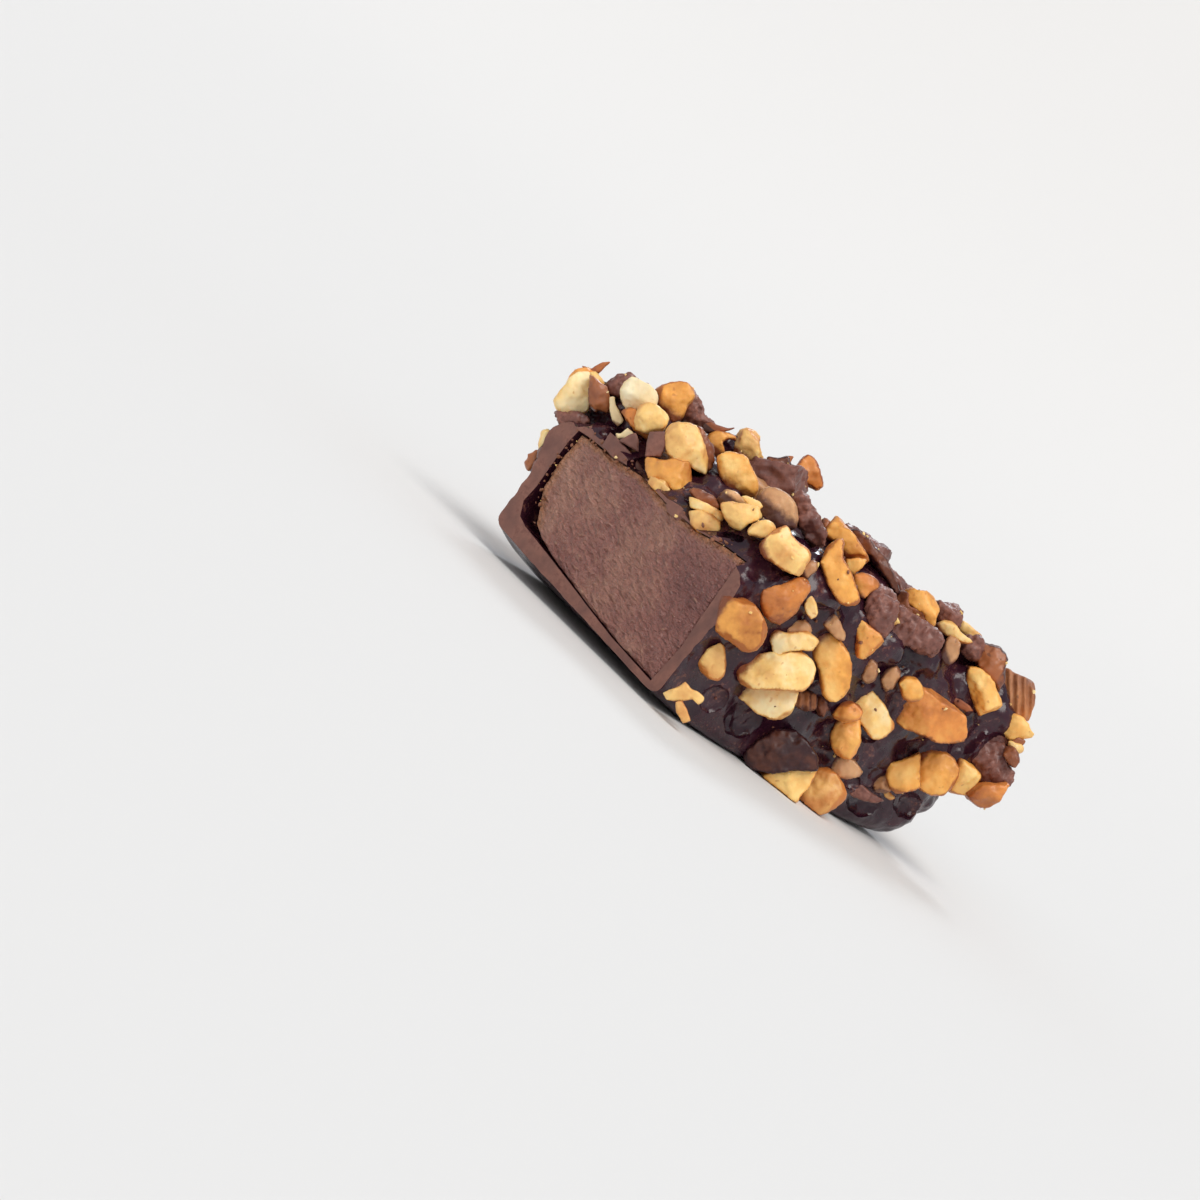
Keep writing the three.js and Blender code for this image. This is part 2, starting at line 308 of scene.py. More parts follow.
# Middle (x, y, z), length, turn and kind of the pieces that stand out, as in the part's source
standouts = [
    (12.8, 1.7, 9.1, 4.4, 115, "chunk"),
    (12.6, 4.1, 12.4, 4.3, 47, "chunk"),
    (12.4, 2.0, 5.4, 2.9, 115, "wedge"),
    (12.9, 9.1, 5.3, 4.9, 47, "chunk"),
    (13.1, 7.6, 7.5, 5.4, 47, "block"),
    (12.9, 7.5, 10.1, 3.6, 47, "slab"),
    (13.0, 12.3, 10.3, 5.8, 110, "crescent"),
    (12.7, 10.0, 12.8, 2.9, 142, "sliver"),
    (12.6, 6.5, 13.1, 2.4, 115, "sliver"),
    (12.5, 14.3, 13.6, 3.5, 115, "wedge"),
    (12.8, 19.6, 6.0, 3.2, 115, "block"),
    (13.0, 17.4, 7.8, 2.3, 47, "chunk"),
    (12.6, 20.4, 8.8, 4.2, 135, "slab"),
    (13.1, 25.3, 11.1, 6.2, 14, "chunk"),
    (13.1, 21.5, 12.1, 2.5, 47, "chunk"),
    (12.6, 29.2, 14.9, 3.9, 130, "block"),
    (12.8, 27.9, 6.1, 3.3, 115, "block"),
    (13.0, 30.9, 7.6, 3.8, 115, "block"),
    (12.8, 33.6, 8.5, 3.3, 115, "wedge"),
    (12.5, 21.8, 4.0, 3.0, 20, "slab"),
    (13.3, 15.6, 1.6, 4.9, 15, "chunk"),
    (13.4, 20.3, 1.6, 4.1, 80, "block"),
    (12.4, 13.0, 6.8, 3.2, 100, "slab"),
    (12.5, 17.1, 11.4, 2.2, 115, "wedge"),
    (12.5, 19.7, 11.8, 2.0, 115, "chunk"),
    (11.5, 7.9, 16.1, 5.2, 111, "crescent"),
    (11.0, 2.5, 15.2, 4.4, 20, "chunk"),
    (10.9, 12.4, 16.2, 2.5, 30, "wedge"),
    (10.4, 35.7, 15.3, 4.4, 70, "chunk"),
    (12.5, 36.0, 13.8, 3.4, 10, "chunk"),
    (13.1, 35.6, 8.6, 3.5, 20, "chunk"),
    (-14.4, 1.0, 13.2, 4.5, 40, "chunk"),
    (-10.0, 1.6, 16.6, 3.7, 30, "chunk"),
    (-7.4, 1.4, 16.1, 3.5, 60, "chunk"),
    (-10.7, 5.6, 17.1, 4.3, 70, "chunk"),
    (-3.2, 2.2, 16.0, 4.8, 70, "chunk"),
    (-1.9, 1.2, 13.8, 4.0, 20, "chunk"),
    (0.0, 5.0, 16.8, 4.3, 60, "chunk"),
    (-7.0, 9.3, 17.0, 3.8, 20, "block"),
    (3.4, 1.0, 14.0, 3.6, 20, "slab"),
    (6.0, 1.6, 15.1, 3.6, 30, "chunk"),
    (5.7, 4.7, 16.9, 4.2, 50, "block"),
    (-8.8, 13.5, 17.9, 3.8, 60, "block"),
    (-7.6, 19.6, 18.8, 4.6, 80, "crescent"),
    (-6.0, 15.8, 17.2, 5.2, 30, "chunk"),
    (-2.2, 32.8, 16.7, 4.2, 75, "block"),
    (2.4, 33.6, 16.3, 3.4, 15, "wedge"),
    (7.4, 34.0, 16.2, 4.0, 60, "crag"),
    (4.4, 21.4, 16.5, 4.4, 60, "wedge"),
    (-4.2, 6.6, 16.2, 4.4, 10, "crag"),
    (-9.6, 33.0, 16.4, 6.0, 30, "crag"),
    (12.2, 35.4, 10.4, 5.4, 40, "chunk"),
    (2.0, 25.6, 16.4, 4.8, 120, "crag"),
    (11.4, 22.6, 15.5, 4.4, 20, "crag"),
    (8.4, 25.4, 17.0, 4.4, 80, "crag"),
    (-13.5, 1.0, 11.2, 4.2, 0, "chunk"),
    (-12.9, 1.3, 14.6, 3.4, 60, "wedge"),
    (-8.6, 1.8, 15.1, 3.8, 90, "slab"),
    (-10.6, 3.6, 15.7, 4.6, 30, "crag"),
    (-8.6, 14.2, 16.2, 4.6, 40, "chunk"),
    (8.6, 1.6, 15.1, 2.5, 90, "slab"),
    (-8.0, 20.2, 17.0, 5.0, 0, "chunk"),
    (6.6, 12.4, 17.2, 4.6, 100, "chunk"),
    (1.8, 13.6, 16.9, 3.8, 100, "slab"),
    (6.6, 16.6, 16.9, 6.0, -49, "crescent"),
    (9.8, 20.8, 17.1, 3.9, 40, "chunk"),
    (10.5, 24.7, 16.8, 3.0, 130, "slab"),
    (8.2, 29.0, 17.0, 3.2, 120, "block"),
    (10.8, 30.6, 16.1, 3.9, 110, "chunk"),
    (-13.8, 0.9, 9.3, 2.5, 90, "chunk"),
    (-13.7, 1.4, 7.6, 2.6, 90, "chunk"),
]
standouts = [(*row, almonds["firstStandout"] + number) for number, row in enumerate(standouts)]

# Not shown as they are: the first are modelled one by one from the photograph below, and on the others only
# chocolate is seen.
outlinedSeeds = set(range(11, 55)) | {56, 57, 62}
coatedSeeds = {60, 109, 118, 145, 156, 161, 162} | set(range(64, 82))


# Pieces at random places over the top, the left side, the far end and the upper right side
def scatteredAlmonds():
    draw = drawsFrom(almonds["firstSeed"])
    beside = almonds["beside"]
    ontoTop, ontoLeft, ontoEnd = almonds["faces"]
    kinds = list(almondKinds)
    taken = [(Vector((x, y, z)), length) for x, y, z, length, turn, kind, seed in standouts]
    pieces = []
    for _ in range(almonds["tries"]):
        if len(pieces) == almonds["scattered"]:
            break
        wanted = Vector((
            bar["left"] - beside + draw() * (bar["right"] - bar["left"] + 2 * beside),
            draw() * (bar["length"] + beside),
            almonds["bareFoot"] + draw() * (bar["height"] - almonds["bareFoot"] + beside),
        ))
        face = draw()
        share = draw() ** almonds["smallness"]
        turn = math.floor(180 * draw() + 0.5)
        kind = kinds[math.floor(len(kinds) * draw())]
        if face < ontoTop:
            wanted.z = bar["height"] + beside
        elif face < ontoLeft:
            wanted.x = bar["left"] - beside
        elif face < ontoEnd:
            wanted.y = bar["length"] + beside
        else:
            wanted.x = bar["right"] + beside
            wanted.z = max(wanted.z, 2 * almonds["bareFoot"])
        length = mix(*almonds["sizes"], share)
        point, normal = surfaceAt(wanted)
        at = point + normal * length * almondKinds[kind][1] * (0.5 - almonds["sink"])
        if all((at - other).length > almonds["spacing"] * (length + size) for other, size in taken):
            taken.append((at, length))
            pieces.append((at.x, at.y, at.z, length, turn, kind, almonds["firstScattered"] + len(pieces)))
    return pieces


scattered = scatteredAlmonds()
print("scattered almonds placed: %d" % len(scattered))

# The chocolate coat

coat = {
    "bodyCuts": 34,
    "voxel": 0.29,
    "smoothing": 5,
    "moundWidth": 0.5,  # of a mound of chocolate round a piece's foot, as a share of the piece's length
    "moundLift": -0.12,
    "bareTop": (3.4, 13.0),  # no mounds in front of this y and above this z: the top broke off there
    "coatedLift": 0.25,  # higher, where a whole piece is coated
    "lumps": ((2.4, 0.6), (1.0, 0.4), (0.42, 0.16)),  # size and height of the skin's unevenness
    "underside": 0.3,  # share of it on the underside
    "undersideFades": (0.5, 2.5),  # between these heights
    "smoothBand": 0.35,  # share of it on the sides' foot near the cut
    "smoothBandFades": ((3, 6), (17, 23)),  # between these heights and these distances from the cut
    # shallow scoops where pieces fell off the right side: y, z, width, height, depth
    "scoops": (
        (5.1, 2.9, 3.0, 2.6, 0.5),
        (9.6, 2.9, 4.4, 3.3, 0.6),
        (27.4, 2.4, 4.8, 2.8, 0.9),
        (31.9, 3.8, 4.0, 2.4, 0.9),
        (24.3, 3.2, 2.0, 1.6, 0.5),
        (22.2, 7.0, 2.6, 1.6, 0.6),
        (29.4, 11.4, 3.8, 2.0, 0.6),
    ),
    "chipLumps": 0.8,  # mm, size of the unevenness of a scoop or a break
    "scoopUnevenness": 0.35,
    "scoopStandsOff": 0.2,
    "hollowLength": 30.6,
    # where the brittle top layer broke away under the knife: x, z, width, height, turn
    "breaks": (
        (-8.4, 13.6, 3.6, 2.0, -12),
        (-4.6, 13.3, 1.7, 2.8, 8),
        (1.3, 14.0, 2.9, 1.4, 20),
        (7.0, 13.5, 2.5, 0.9, -15),
    ),
    "breakDepth": 2.4,
    "breakUnevenness": 0.9,
    "hollowFront": -1.0,  # the hollow starts in front of the cut face
    "rimReach": 0.3,  # faces this near the cut face that look out of it are the cut rim
    "rimFacing": 0.8,
    "sharpest": 38,
}

blade = {
    "middle": (0, -6, 10),
    "size": (50, 12, 40),
    "cuts": 90,
    "wave": ((4.0, 0.25), (0.8, 0.1)),  # size and height of the unevenness that it leaves
}

# The inside of the coat in the cut face (x, z), from the lower left corner round to the right. On the left it
# stands clear of the caramel, so a dark gap shows.
hollowSection = (
    (-9.58, 3.36), (-5.81, 3.0), (0.83, 2.22), (4.84, 1.78), (10.68, 1.47), (10.94, 4.97), (10.65, 7.14),
    (10.39, 10.33), (10.2, 12.93), (7.89, 12.76), (4.91, 12.21), (0.57, 12.16), (-3.26, 12.5), (-6.74, 12.05),
    (-10.08, 11.9), (-11.35, 11.75), (-11.5, 10.53), (-11.42, 8.28), (-11.3, 6.32), (-11.45, 4.76),
    (-10.73, 3.67),
)


# A closed block that reaches from the given corners back by the given way, left open for more cuts
def openBlock(corners, way):
    bpy.ops.mesh.primitive_circle_add(vertices=len(corners), radius=1, fill_type="NGON", location=(0, 0, 0))
    block = bpy.context.object
    for vertex, corner in zip(block.data.vertices, corners):
        vertex.co = corner
    openMesh(block)
    bpy.ops.mesh.extrude_region_move(TRANSFORM_OT_translate={"value": way})
    turnOutwards()
    return block


# A box divided into small faces
def fineBox(middle, size, cuts):
    bpy.ops.mesh.primitive_cube_add(size=1, location=middle, scale=size)
    box = bpy.context.object
    applyPlace(box)
    openMesh(box)
    bpy.ops.mesh.subdivide(number_cuts=cuts)
    closeMesh()
    return box


def cutAway(piece, cutter):
    finishWith(piece, "BOOLEAN", operation="DIFFERENCE", object=cutter, solver="MANIFOLD")
    bpy.data.objects.remove(cutter)


def bareBar():
    size = (bar["right"] - bar["left"], bar["length"] + bar["pastCut"], bar["height"])
    middle = ((bar["left"] + bar["right"]) / 2, (bar["length"] - bar["pastCut"]) / 2, bar["height"] / 2)
    body = fineBox(middle, size, coat["bodyCuts"])
    for vertex in body.data.vertices:
        if vertex.co.y > 0.01 - bar["pastCut"]:
            vertex.co = groundAt(vertex.co)[0]
    return body


# A mound of chocolate that climbs the foot of an almond
def moundUnder(place, length, thick, lift):
    ground, normal = groundAt(place)
    height = max(0.5, (place - ground).dot(normal) + lift * thick)
    bpy.ops.mesh.primitive_ico_sphere_add(subdivisions=3, radius=1, location=ground)
    mound = bpy.context.object
    mound.rotation_mode = "QUATERNION"
    mound.rotation_quaternion = normal.to_track_quat("Z", "Y")
    mound.scale = (coat["moundWidth"] * length, coat["moundWidth"] * length, height)
    return mound


def chocolateBody():
    pieces = [bareBar()]
    for x, y, z, length, turn, kind, seed in standouts + scattered:
        if y < coat["bareTop"][0] and z > coat["bareTop"][1]:
            continue
        lift = coat["coatedLift" if seed in coatedSeeds else "moundLift"]
        pieces.append(moundUnder(Vector((x, y, z)), length, almondKinds[kind][1] * length, lift))
    body = joined(pieces, "chocolateCoat")
    applyPlace(body)
    soften(body, coat["voxel"], coat["smoothing"])
    upwards, onwards = coat["smoothBandFades"]
    uneven = body.vertex_groups.new(name="uneven")
    for vertex in body.data.vertices:
        x, y, z = vertex.co
        band = mix(coat["smoothBand"], 1.0, max(smoothStep(z, *upwards), smoothStep(y, *onwards)))
        share = band * mix(coat["underside"], 1.0, smoothStep(z, *coat["undersideFades"]))
        uneven.add([vertex.index], share, "REPLACE")
    for size, height in coat["lumps"]:
        roughen(body, size, height, vertex_group="uneven")
    keepAboveTable(body)
    return body


# The knife: all that is in front of the cut face, with a slightly uneven front
def knife():
    cutter = fineBox(blade["middle"], blade["size"], blade["cuts"])
    for size, height in blade["wave"]:
        roughen(cutter, size, height)
    return cutter


# An uneven hole with the given half sizes, cut out of the body
def chipAway(body, place, halfSizes, turn, unevenness):
    bpy.ops.mesh.primitive_ico_sphere_add(subdivisions=4, radius=1, location=place)
    chip = bpy.context.object
    chip.scale = halfSizes
    chip.rotation_euler = (0, math.radians(turn), 0)
    applyPlace(chip)
    roughen(chip, coat["chipLumps"], unevenness)
    cutAway(body, chip)


def chocolateCoat():
    body = chocolateBody()
    for x, z, width, height, turn in coat["breaks"]:
        halfSizes = (width / 2, coat["breakDepth"], height / 2)
        chipAway(body, (x, 0, z), halfSizes, turn, coat["breakUnevenness"])
    standsOff = coat["scoopStandsOff"]
    for y, z, width, height, depth in coat["scoops"]:
        surface = groundAt(Vector((bar["right"] + 1, y, z)))[0]
        halfSizes = (depth + standsOff, width / 2, height / 2)
        chipAway(body, surface + Vector((standsOff, 0, 0)), halfSizes, 0, coat["scoopUnevenness"])
    front = coat["hollowFront"]
    hollow = openBlock([(x, front, z) for x, z in hollowSection], (0, coat["hollowLength"] - front, 0))
    closeMesh()
    cutAway(body, hollow)
    cutAway(body, knife())
    body.data.materials.clear()
    body.data.materials.append(darkChocolate)
    body.data.materials.append(cutChocolate)  # on the cut rim
    for face in body.data.polygons:
        atCut = abs(face.center.y) < coat["rimReach"] and face.normal.y < -coat["rimFacing"]
        face.material_index = 1 if atCut else 0
    withFaces(body, coat["sharpest"])
    return body


# The caramel

caramel = {
    "length": 30.4,
    "columns": 150,
    "rows": 64,
    "flush": 0.02,  # how far the cut caramel stands back
    "edgeRound": 0.14,  # and how much farther at its edges
    "edgeWidth": 0.35,
    "steps": (1.4, 4.0, 10.0),  # lengths of the first rows of faces behind the cut
    "rippleSlant": (0.96, -0.27),  # the long way of the knife's ripples in the cut face (x, z)
    "ripples": ((0.42, 1.3, 0.09), (1.3, 3.6, 0.08)),  # wavelength across and along, height
    "rindWidth": 1.5,  # of the paler, drier border along the left
    "rindTop": 1.6,  # along the top it is narrower by this
    "sharpest": 50,
}

# The caramel's outline in the cut face (x, z) on its four sides, each from left to right or upwards
caramelBottom = ((-8.9, 4.14), (-7.55, 3.61), (-5.59, 3.14), (0.83, 2.31), (4.84, 1.87), (10.56, 1.59))
caramelTop = (
    (-10.97, 11.62), (-10.08, 11.74), (-6.74, 11.92), (-3.26, 12.38), (0.57, 12.06), (4.91, 12.11),
    (7.89, 12.66), (10.1, 12.82),
)
caramelLeft = ((-8.9, 4.14), (-10.67, 6.5), (-11.05, 9.04), (-10.97, 11.62))
caramelRight = ((10.56, 1.59), (10.82, 4.97), (10.53, 7.14), (10.27, 10.33), (10.1, 12.82))


# The point at a share of the way along a line of points
def alongLine(line, share):
    steps = [math.dist(a, b) for a, b in zip(line, line[1:])]
    left = share * sum(steps)
    for (a, b), step in zip(zip(line, line[1:]), steps):
        if left <= step or b == line[-1]:
            part = min(1.0, left / step)
            return Vector((mix(a[0], b[0], part), mix(a[1], b[1], part)))
        left -= step


# How far a point is from a line of points
def fromLine(point, line):
    nearest = math.inf
    for start, end in zip(line, line[1:]):
        along = Vector(end) - Vector(start)
        share = min(1.0, max(0.0, (point - Vector(start)).dot(along) / along.length_squared))
        nearest = min(nearest, (point - Vector(start) - along * share).length)
    return nearest


# A place inside the section from its share across and its share up
def insideSection(across, up):
    sides = alongLine(caramelLeft, up) * (1 - across) + alongLine(caramelRight, up) * across
    ends = alongLine(caramelBottom, across) * (1 - up) + alongLine(caramelTop, across) * up
    corners = (
        (Vector(caramelBottom[0]) * (1 - across) + Vector(caramelBottom[-1]) * across) * (1 - up)
        + (Vector(caramelTop[0]) * (1 - across) + Vector(caramelTop[-1]) * across) * up
    )
    return sides + ends - corners


def caramelBar():
    bpy.ops.mesh.primitive_grid_add(
        x_subdivisions=caramel["columns"], y_subdivisions=caramel["rows"], size=2,
        location=(0, 0, 0), rotation=(math.pi / 2, 0, 0),
    )
    piece = named(bpy.context.object, "caramelBar")
    applyPlace(piece)
    slant = Vector(caramel["rippleSlant"]).normalized()
    square = Vector((-slant.y, slant.x))
    for vertex in piece.data.vertices:
        across = (vertex.co.x + 1) / 2
        up = (vertex.co.z + 1) / 2
        place = insideSection(across, up)
        depth = caramel["flush"]
        for wave, stretch, height in caramel["ripples"]:
            spot = Vector((place.dot(slant) / stretch, place.dot(square) / wave, 3.7 * wave))
            depth += height * noise.noise(spot)
        fromEdge = 25 * min(across, 1 - across, up * 0.5, (1 - up) * 0.5)  # about in millimetres
        depth += caramel["edgeRound"] * max(0.0, 1 - fromEdge / caramel["edgeWidth"]) ** 2
        vertex.co = (place.x, depth, place.y)
    openMesh(piece)
    bpy.ops.mesh.select_all(action="DESELECT")
    bpy.ops.mesh.select_mode(type="EDGE")
    bpy.ops.mesh.select_non_manifold()
    for step in (*caramel["steps"], caramel["length"] - sum(caramel["steps"])):
        bpy.ops.mesh.extrude_region_move(TRANSFORM_OT_translate={"value": (0, step, 0)})
    bpy.ops.mesh.edge_face_add()
    turnOutwards()
    closeMesh()
    rind = piece.data.attributes.new("rind", "FLOAT", "POINT")
    for index, vertex in enumerate(piece.data.vertices):
        place = Vector((vertex.co.x, vertex.co.z))
        away = min(fromLine(place, caramelLeft), caramel["rindTop"] * fromLine(place, caramelTop))
        rind.data[index].value = 1 - smoothStep(away, 0.0, caramel["rindWidth"])
    withFaces(piece, caramel["sharpest"])
    return piece


# The almonds, skins and chocolate crags that the photograph shows, each with its outline read off it,
# in its pixels. Before the outline: the plane that the piece lies in (x or y, in millimetres), its thickness,
# its finish, and how dark it is, from -1 (light) to 1 (dark).
# Darkness is partly each piece's roast, partly painted light: pieces the lamps light less are painted lighter
outlines = {
    "basePeel": ("x", 12.9, 3.2, "peel", 1.6, [
        (744, 757), (750, 748), (762, 738), (775, 731), (795, 731), (806, 742), (816, 757), (817, 770),
        (795, 769), (770, 772), (748, 768),
    ]),
    "baseGold": ("x", 13.9, 3.2, "gold", -0.8, [
        (757, 773), (762, 769), (772, 765), (782, 762), (790, 760), (797, 764), (805, 767), (817, 769),
        (811, 780), (805, 790), (800, 793), (797, 800), (792, 805), (784, 802), (775, 796), (767, 788),
        (763, 779),
    ]),
    "basePale": ("x", 13.5, 3.4, "cream", 1.3, [
        (798, 801), (801, 793), (806, 787), (812, 776), (818, 768), (827, 768), (836, 775), (841, 784),
        (845, 793), (843, 799), (839, 803), (828, 810), (820, 813), (814, 818), (807, 814), (801, 808),
    ]),
    "mushCap": ("x", 13.0, 2.0, "roasted", -0.4, [
        (832, 714), (836, 709), (843, 703), (850, 702), (858, 706), (861, 712), (859, 718), (850, 721),
        (842, 721), (835, 718),
    ]),
    "mushStem": ("x", 12.9, 2.4, "roasted", -0.4, [
        (838, 719), (848, 720), (858, 719), (860, 730), (859, 742), (855, 752), (850, 758), (842, 757),
        (835, 751), (831, 742), (831, 732), (835, 725),
    ]),
    "stemFoot": ("x", 12.4, 1.8, "filmed", -0.2, [
        (823, 760), (825, 752), (832, 753), (840, 756), (852, 760), (858, 767), (862, 772), (858, 776),
        (848, 778), (841, 777), (834, 771), (825, 766),
    ]),
    "paleUpright": ("x", 12.6, 2.8, "cream", 0.1, [
        (853, 694), (857, 688), (862, 686), (868, 688), (874, 693), (879, 700), (884, 708), (888, 716),
        (893, 722), (893, 728), (886, 734), (878, 738), (872, 737), (866, 729), (861, 722), (859, 714),
        (855, 706), (851, 700),
    ]),
    "rowLeft": ("x", 12.7, 2.6, "gold", 0.2, [
        (889, 763), (900, 762), (911, 757), (919, 753), (919, 787), (908, 790), (897, 792), (890, 787),
        (887, 775),
    ]),
    "rowLeftFilm": ("x", 12.0, 2.0, "filmed", 0.3, [
        (872, 780), (880, 776), (890, 775), (891, 789), (884, 792), (875, 790),
    ]),
    "rowMiddle": ("x", 13.0, 2.8, "gold", 0.5, [
        (918, 750), (930, 750), (945, 753), (953, 759), (957, 768), (956, 779), (950, 787), (945, 791),
        (943, 794), (931, 794), (920, 788), (918, 770),
    ]),
    "rowRight": ("x", 13.0, 2.8, "gold", -0.8, [
        (957, 760), (961, 757), (970, 765), (978, 773), (979, 777), (974, 785), (970, 791), (966, 794),
        (958, 793), (950, 791), (949, 787), (955, 780), (957, 770),
    ]),
    "bigKnob": ("x", 13.8, 2.0, "gold", 0.2, [
        (899, 683), (903, 678), (910, 677), (916, 679), (920, 686), (922, 693), (919, 699), (911, 701),
        (904, 697),
    ]),
    "bigAmber": ("x", 13.2, 3.6, "roasted", -0.1, [
        (892, 702), (896, 696), (905, 693), (915, 694), (921, 688), (930, 690), (940, 697), (950, 705),
        (958, 710), (964, 716), (965, 726), (966, 734), (963, 741), (952, 742), (937, 741), (925, 735),
        (915, 731), (905, 728), (897, 722), (893, 712),
    ]),
    "farBlock": ("x", 12.6, 3.2, "gold", -0.6, [
        (969, 667), (975, 668), (981, 670), (987, 676), (992, 683), (996, 692), (1000, 700),
        (1000, 706), (995, 709), (987, 711), (980, 715), (975, 705), (971, 695), (966, 686),
        (966, 677),
    ]),
    "ridgedPeel": ("y", 36.0, 3.0, "ridged", -0.6, [
        (1003, 668), (1010, 671), (1018, 676), (1027, 680), (1033, 684), (1033, 695), (1031, 706),
        (1028, 720), (1022, 718), (1010, 715), (1000, 706), (1001, 695), (1002, 680),
    ]),
    "topPeel": ("x", 11.4, 3.2, "peel", -0.6, [
        (979, 643), (990, 646), (998, 649), (1004, 655), (1005, 661), (1003, 668), (1002, 680),
        (999, 690), (995, 684), (990, 678), (983, 670), (977, 664), (977, 652),
    ]),
    "endGold": ("y", 35.8, 2.8, "gold", -0.9, [
        (1001, 719), (1008, 716), (1014, 715), (1021, 718), (1027, 725), (1029, 730), (1033, 733),
        (1031, 737), (1020, 738), (1010, 739), (1004, 735), (1000, 727),
    ]),
    "endChip": ("y", 35.9, 1.6, "cream", 0.3, [
        (1010, 740), (1013, 743), (1019, 744), (1022, 746), (1022, 750), (1018, 753), (1013, 750),
        (1009, 746),
    ]),
    "endChipPeel": ("y", 35.9, 1.0, "peel", -0.4, [
        (1012, 741), (1018, 738), (1024, 741), (1021, 745), (1014, 744),
    ]),
    "endLobe": ("y", 35.4, 2.4, "peel", -0.3, [
        (1006, 748), (1012, 746), (1017, 752), (1018, 760), (1014, 766), (1010, 764), (1005, 760),
        (1003, 753),
    ]),
    "endFoot": ("y", 35.2, 3.4, "roasted", 0.9, [
        (975, 785), (985, 783), (993, 785), (1001, 783), (1006, 782), (1008, 786), (1000, 795),
        (998, 800), (990, 805), (984, 807), (978, 805), (970, 799), (966, 794), (971, 790),
    ]),
    "farGold": ("x", 10.2, 3.4, "gold", -0.1, [
        (906, 592), (911, 589), (918, 592), (927, 593), (933, 599), (938, 609), (935, 616), (934, 623),
        (930, 628), (926, 624), (922, 612), (912, 609), (907, 604),
    ]),
    "farGoldPeel": ("x", 9.8, 3.0, "peel", -0.5, [
        (895, 598), (901, 591), (908, 594), (910, 607), (922, 611), (926, 624), (918, 621), (906, 614),
        (898, 608),
    ]),
    "farCream": ("x", 10.8, 2.2, "cream", 0.3, [
        (937, 625), (945, 621), (951, 622), (956, 628), (960, 633), (968, 638), (972, 642), (966, 643),
        (957, 641), (950, 636), (940, 632),
    ]),
    "farCreamTwo": ("x", 8.6, 2.2, "cream", 0.4, [
        (960, 620), (966, 623), (972, 629), (981, 636), (978, 641), (972, 641), (965, 635), (958, 629),
    ]),
    "farFilm": ("x", 11.9, 1.6, "filmed", -0.2, [
        (950, 637), (957, 639), (959, 645), (957, 655), (953, 662), (948, 665), (943, 661), (941, 653),
        (945, 644),
    ]),
    "smallTan": ("x", 12.4, 1.8, "filmed", -0.1, [
        (893, 666), (898, 668), (900, 672), (898, 679), (894, 686), (887, 690), (883, 685), (881, 678),
        (886, 671),
    ]),
    "smallFilm": ("x", 12.3, 1.8, "filmed", 0.0, [
        (868, 657), (872, 660), (876, 665), (876, 672), (874, 680), (868, 683), (862, 678), (862, 671),
        (865, 664),
    ]),
    "amberTriangle": ("x", 12.4, 2.6, "roasted", -0.7, [
        (853, 612), (858, 616), (864, 623), (872, 629), (878, 634), (883, 641), (877, 647), (870, 654),
        (863, 658), (857, 656), (855, 648), (853, 638), (852, 625),
    ]),
    "crescent": ("x", 13.0, 2.6, "gold", 0.0, [
        (813, 626), (820, 629), (830, 634), (840, 641), (846, 652), (850, 662), (850, 675), (848, 688),
        (843, 696), (836, 701), (829, 699), (824, 694), (821, 685), (820, 672), (817, 662), (811, 656),
        (813, 648), (817, 642),
    ]),
    "creamSlab": ("x", 13.0, 2.6, "cream", -0.3, [
        (772, 631), (780, 630), (786, 633), (795, 634), (805, 632), (811, 635), (817, 641), (813, 648),
        (810, 650), (795, 649), (785, 651), (780, 656), (775, 657), (773, 648), (771, 640),
    ]),
    "slabFilm": ("x", 12.3, 2.0, "filmed", -0.5, [
        (787, 624), (795, 621), (803, 621), (809, 626), (810, 632), (803, 635), (793, 635), (787, 632),
    ]),
    "lobeUpper": ("x", 13.3, 3.2, "cream", 0.0, [
        (738, 667), (742, 660), (750, 656), (760, 655), (772, 653), (780, 656), (790, 653), (799, 652),
        (806, 656), (812, 662), (814, 670), (812, 679), (807, 687), (800, 691), (790, 689), (775, 688),
        (760, 688), (750, 687), (741, 683), (738, 675),
    ]),
    "lobeLower": ("x", 12.9, 3.0, "cream", -0.5, [
        (741, 682), (750, 680), (765, 680), (785, 684), (797, 690), (795, 700), (791, 709), (786, 715),
        (780, 718), (770, 718), (763, 714), (757, 712), (752, 706), (745, 701), (738, 697), (736, 690),
    ]),
    "tanChunk": ("x", 12.7, 3.4, "gold", 0.8, [
        (723, 597), (730, 598), (745, 600), (752, 605), (758, 612), (763, 620), (766, 630), (764, 639),
        (757, 648), (748, 651), (742, 650), (735, 643), (725, 637), (716, 630), (718, 618), (720, 603),
    ]),
    "tanTriangle": ("x", 12.2, 2.2, "cream", 0.8, [
        (714, 646), (720, 643), (724, 648), (724, 655), (724, 665), (723, 675), (718, 680), (710, 678),
        (702, 671), (698, 662), (703, 655), (708, 650),
    ]),
    "orangeLump": ("x", 12.5, 3.4, "roasted", 1.0, [
        (763, 590), (772, 587), (780, 585), (788, 583), (792, 580), (800, 578), (806, 580), (809, 586),
        (808, 592), (804, 598), (798, 604), (795, 612), (788, 618), (780, 623), (772, 621), (766, 616),
        (762, 608), (761, 598),
    ]),
    "sliverOne": ("x", 12.7, 1.2, "cream", 0.2, [
        (809, 594), (812, 598), (815, 604), (817, 612), (815, 616), (811, 618), (807, 612), (805, 606),
        (807, 600),
    ]),
    "sliverTwo": ("x", 12.6, 1.6, "filmed", -0.8, [
        (829, 610), (834, 615), (838, 622), (842, 630), (844, 636), (843, 640), (838, 638), (831, 632),
        (825, 626), (822, 620), (824, 612),
    ]),
    "filmRound": ("x", 11.9, 1.6, "filmed", -0.1, [
        (803, 568), (808, 563), (813, 561), (817, 564), (816, 570), (811, 573), (807, 578), (803, 577),
        (800, 573),
    ]),
    "starCream": ("x", 11.2, 3.2, "cream", 0.5, [
        (786, 527), (789, 530), (792, 538), (800, 545), (806, 549), (809, 555), (808, 560), (803, 565),
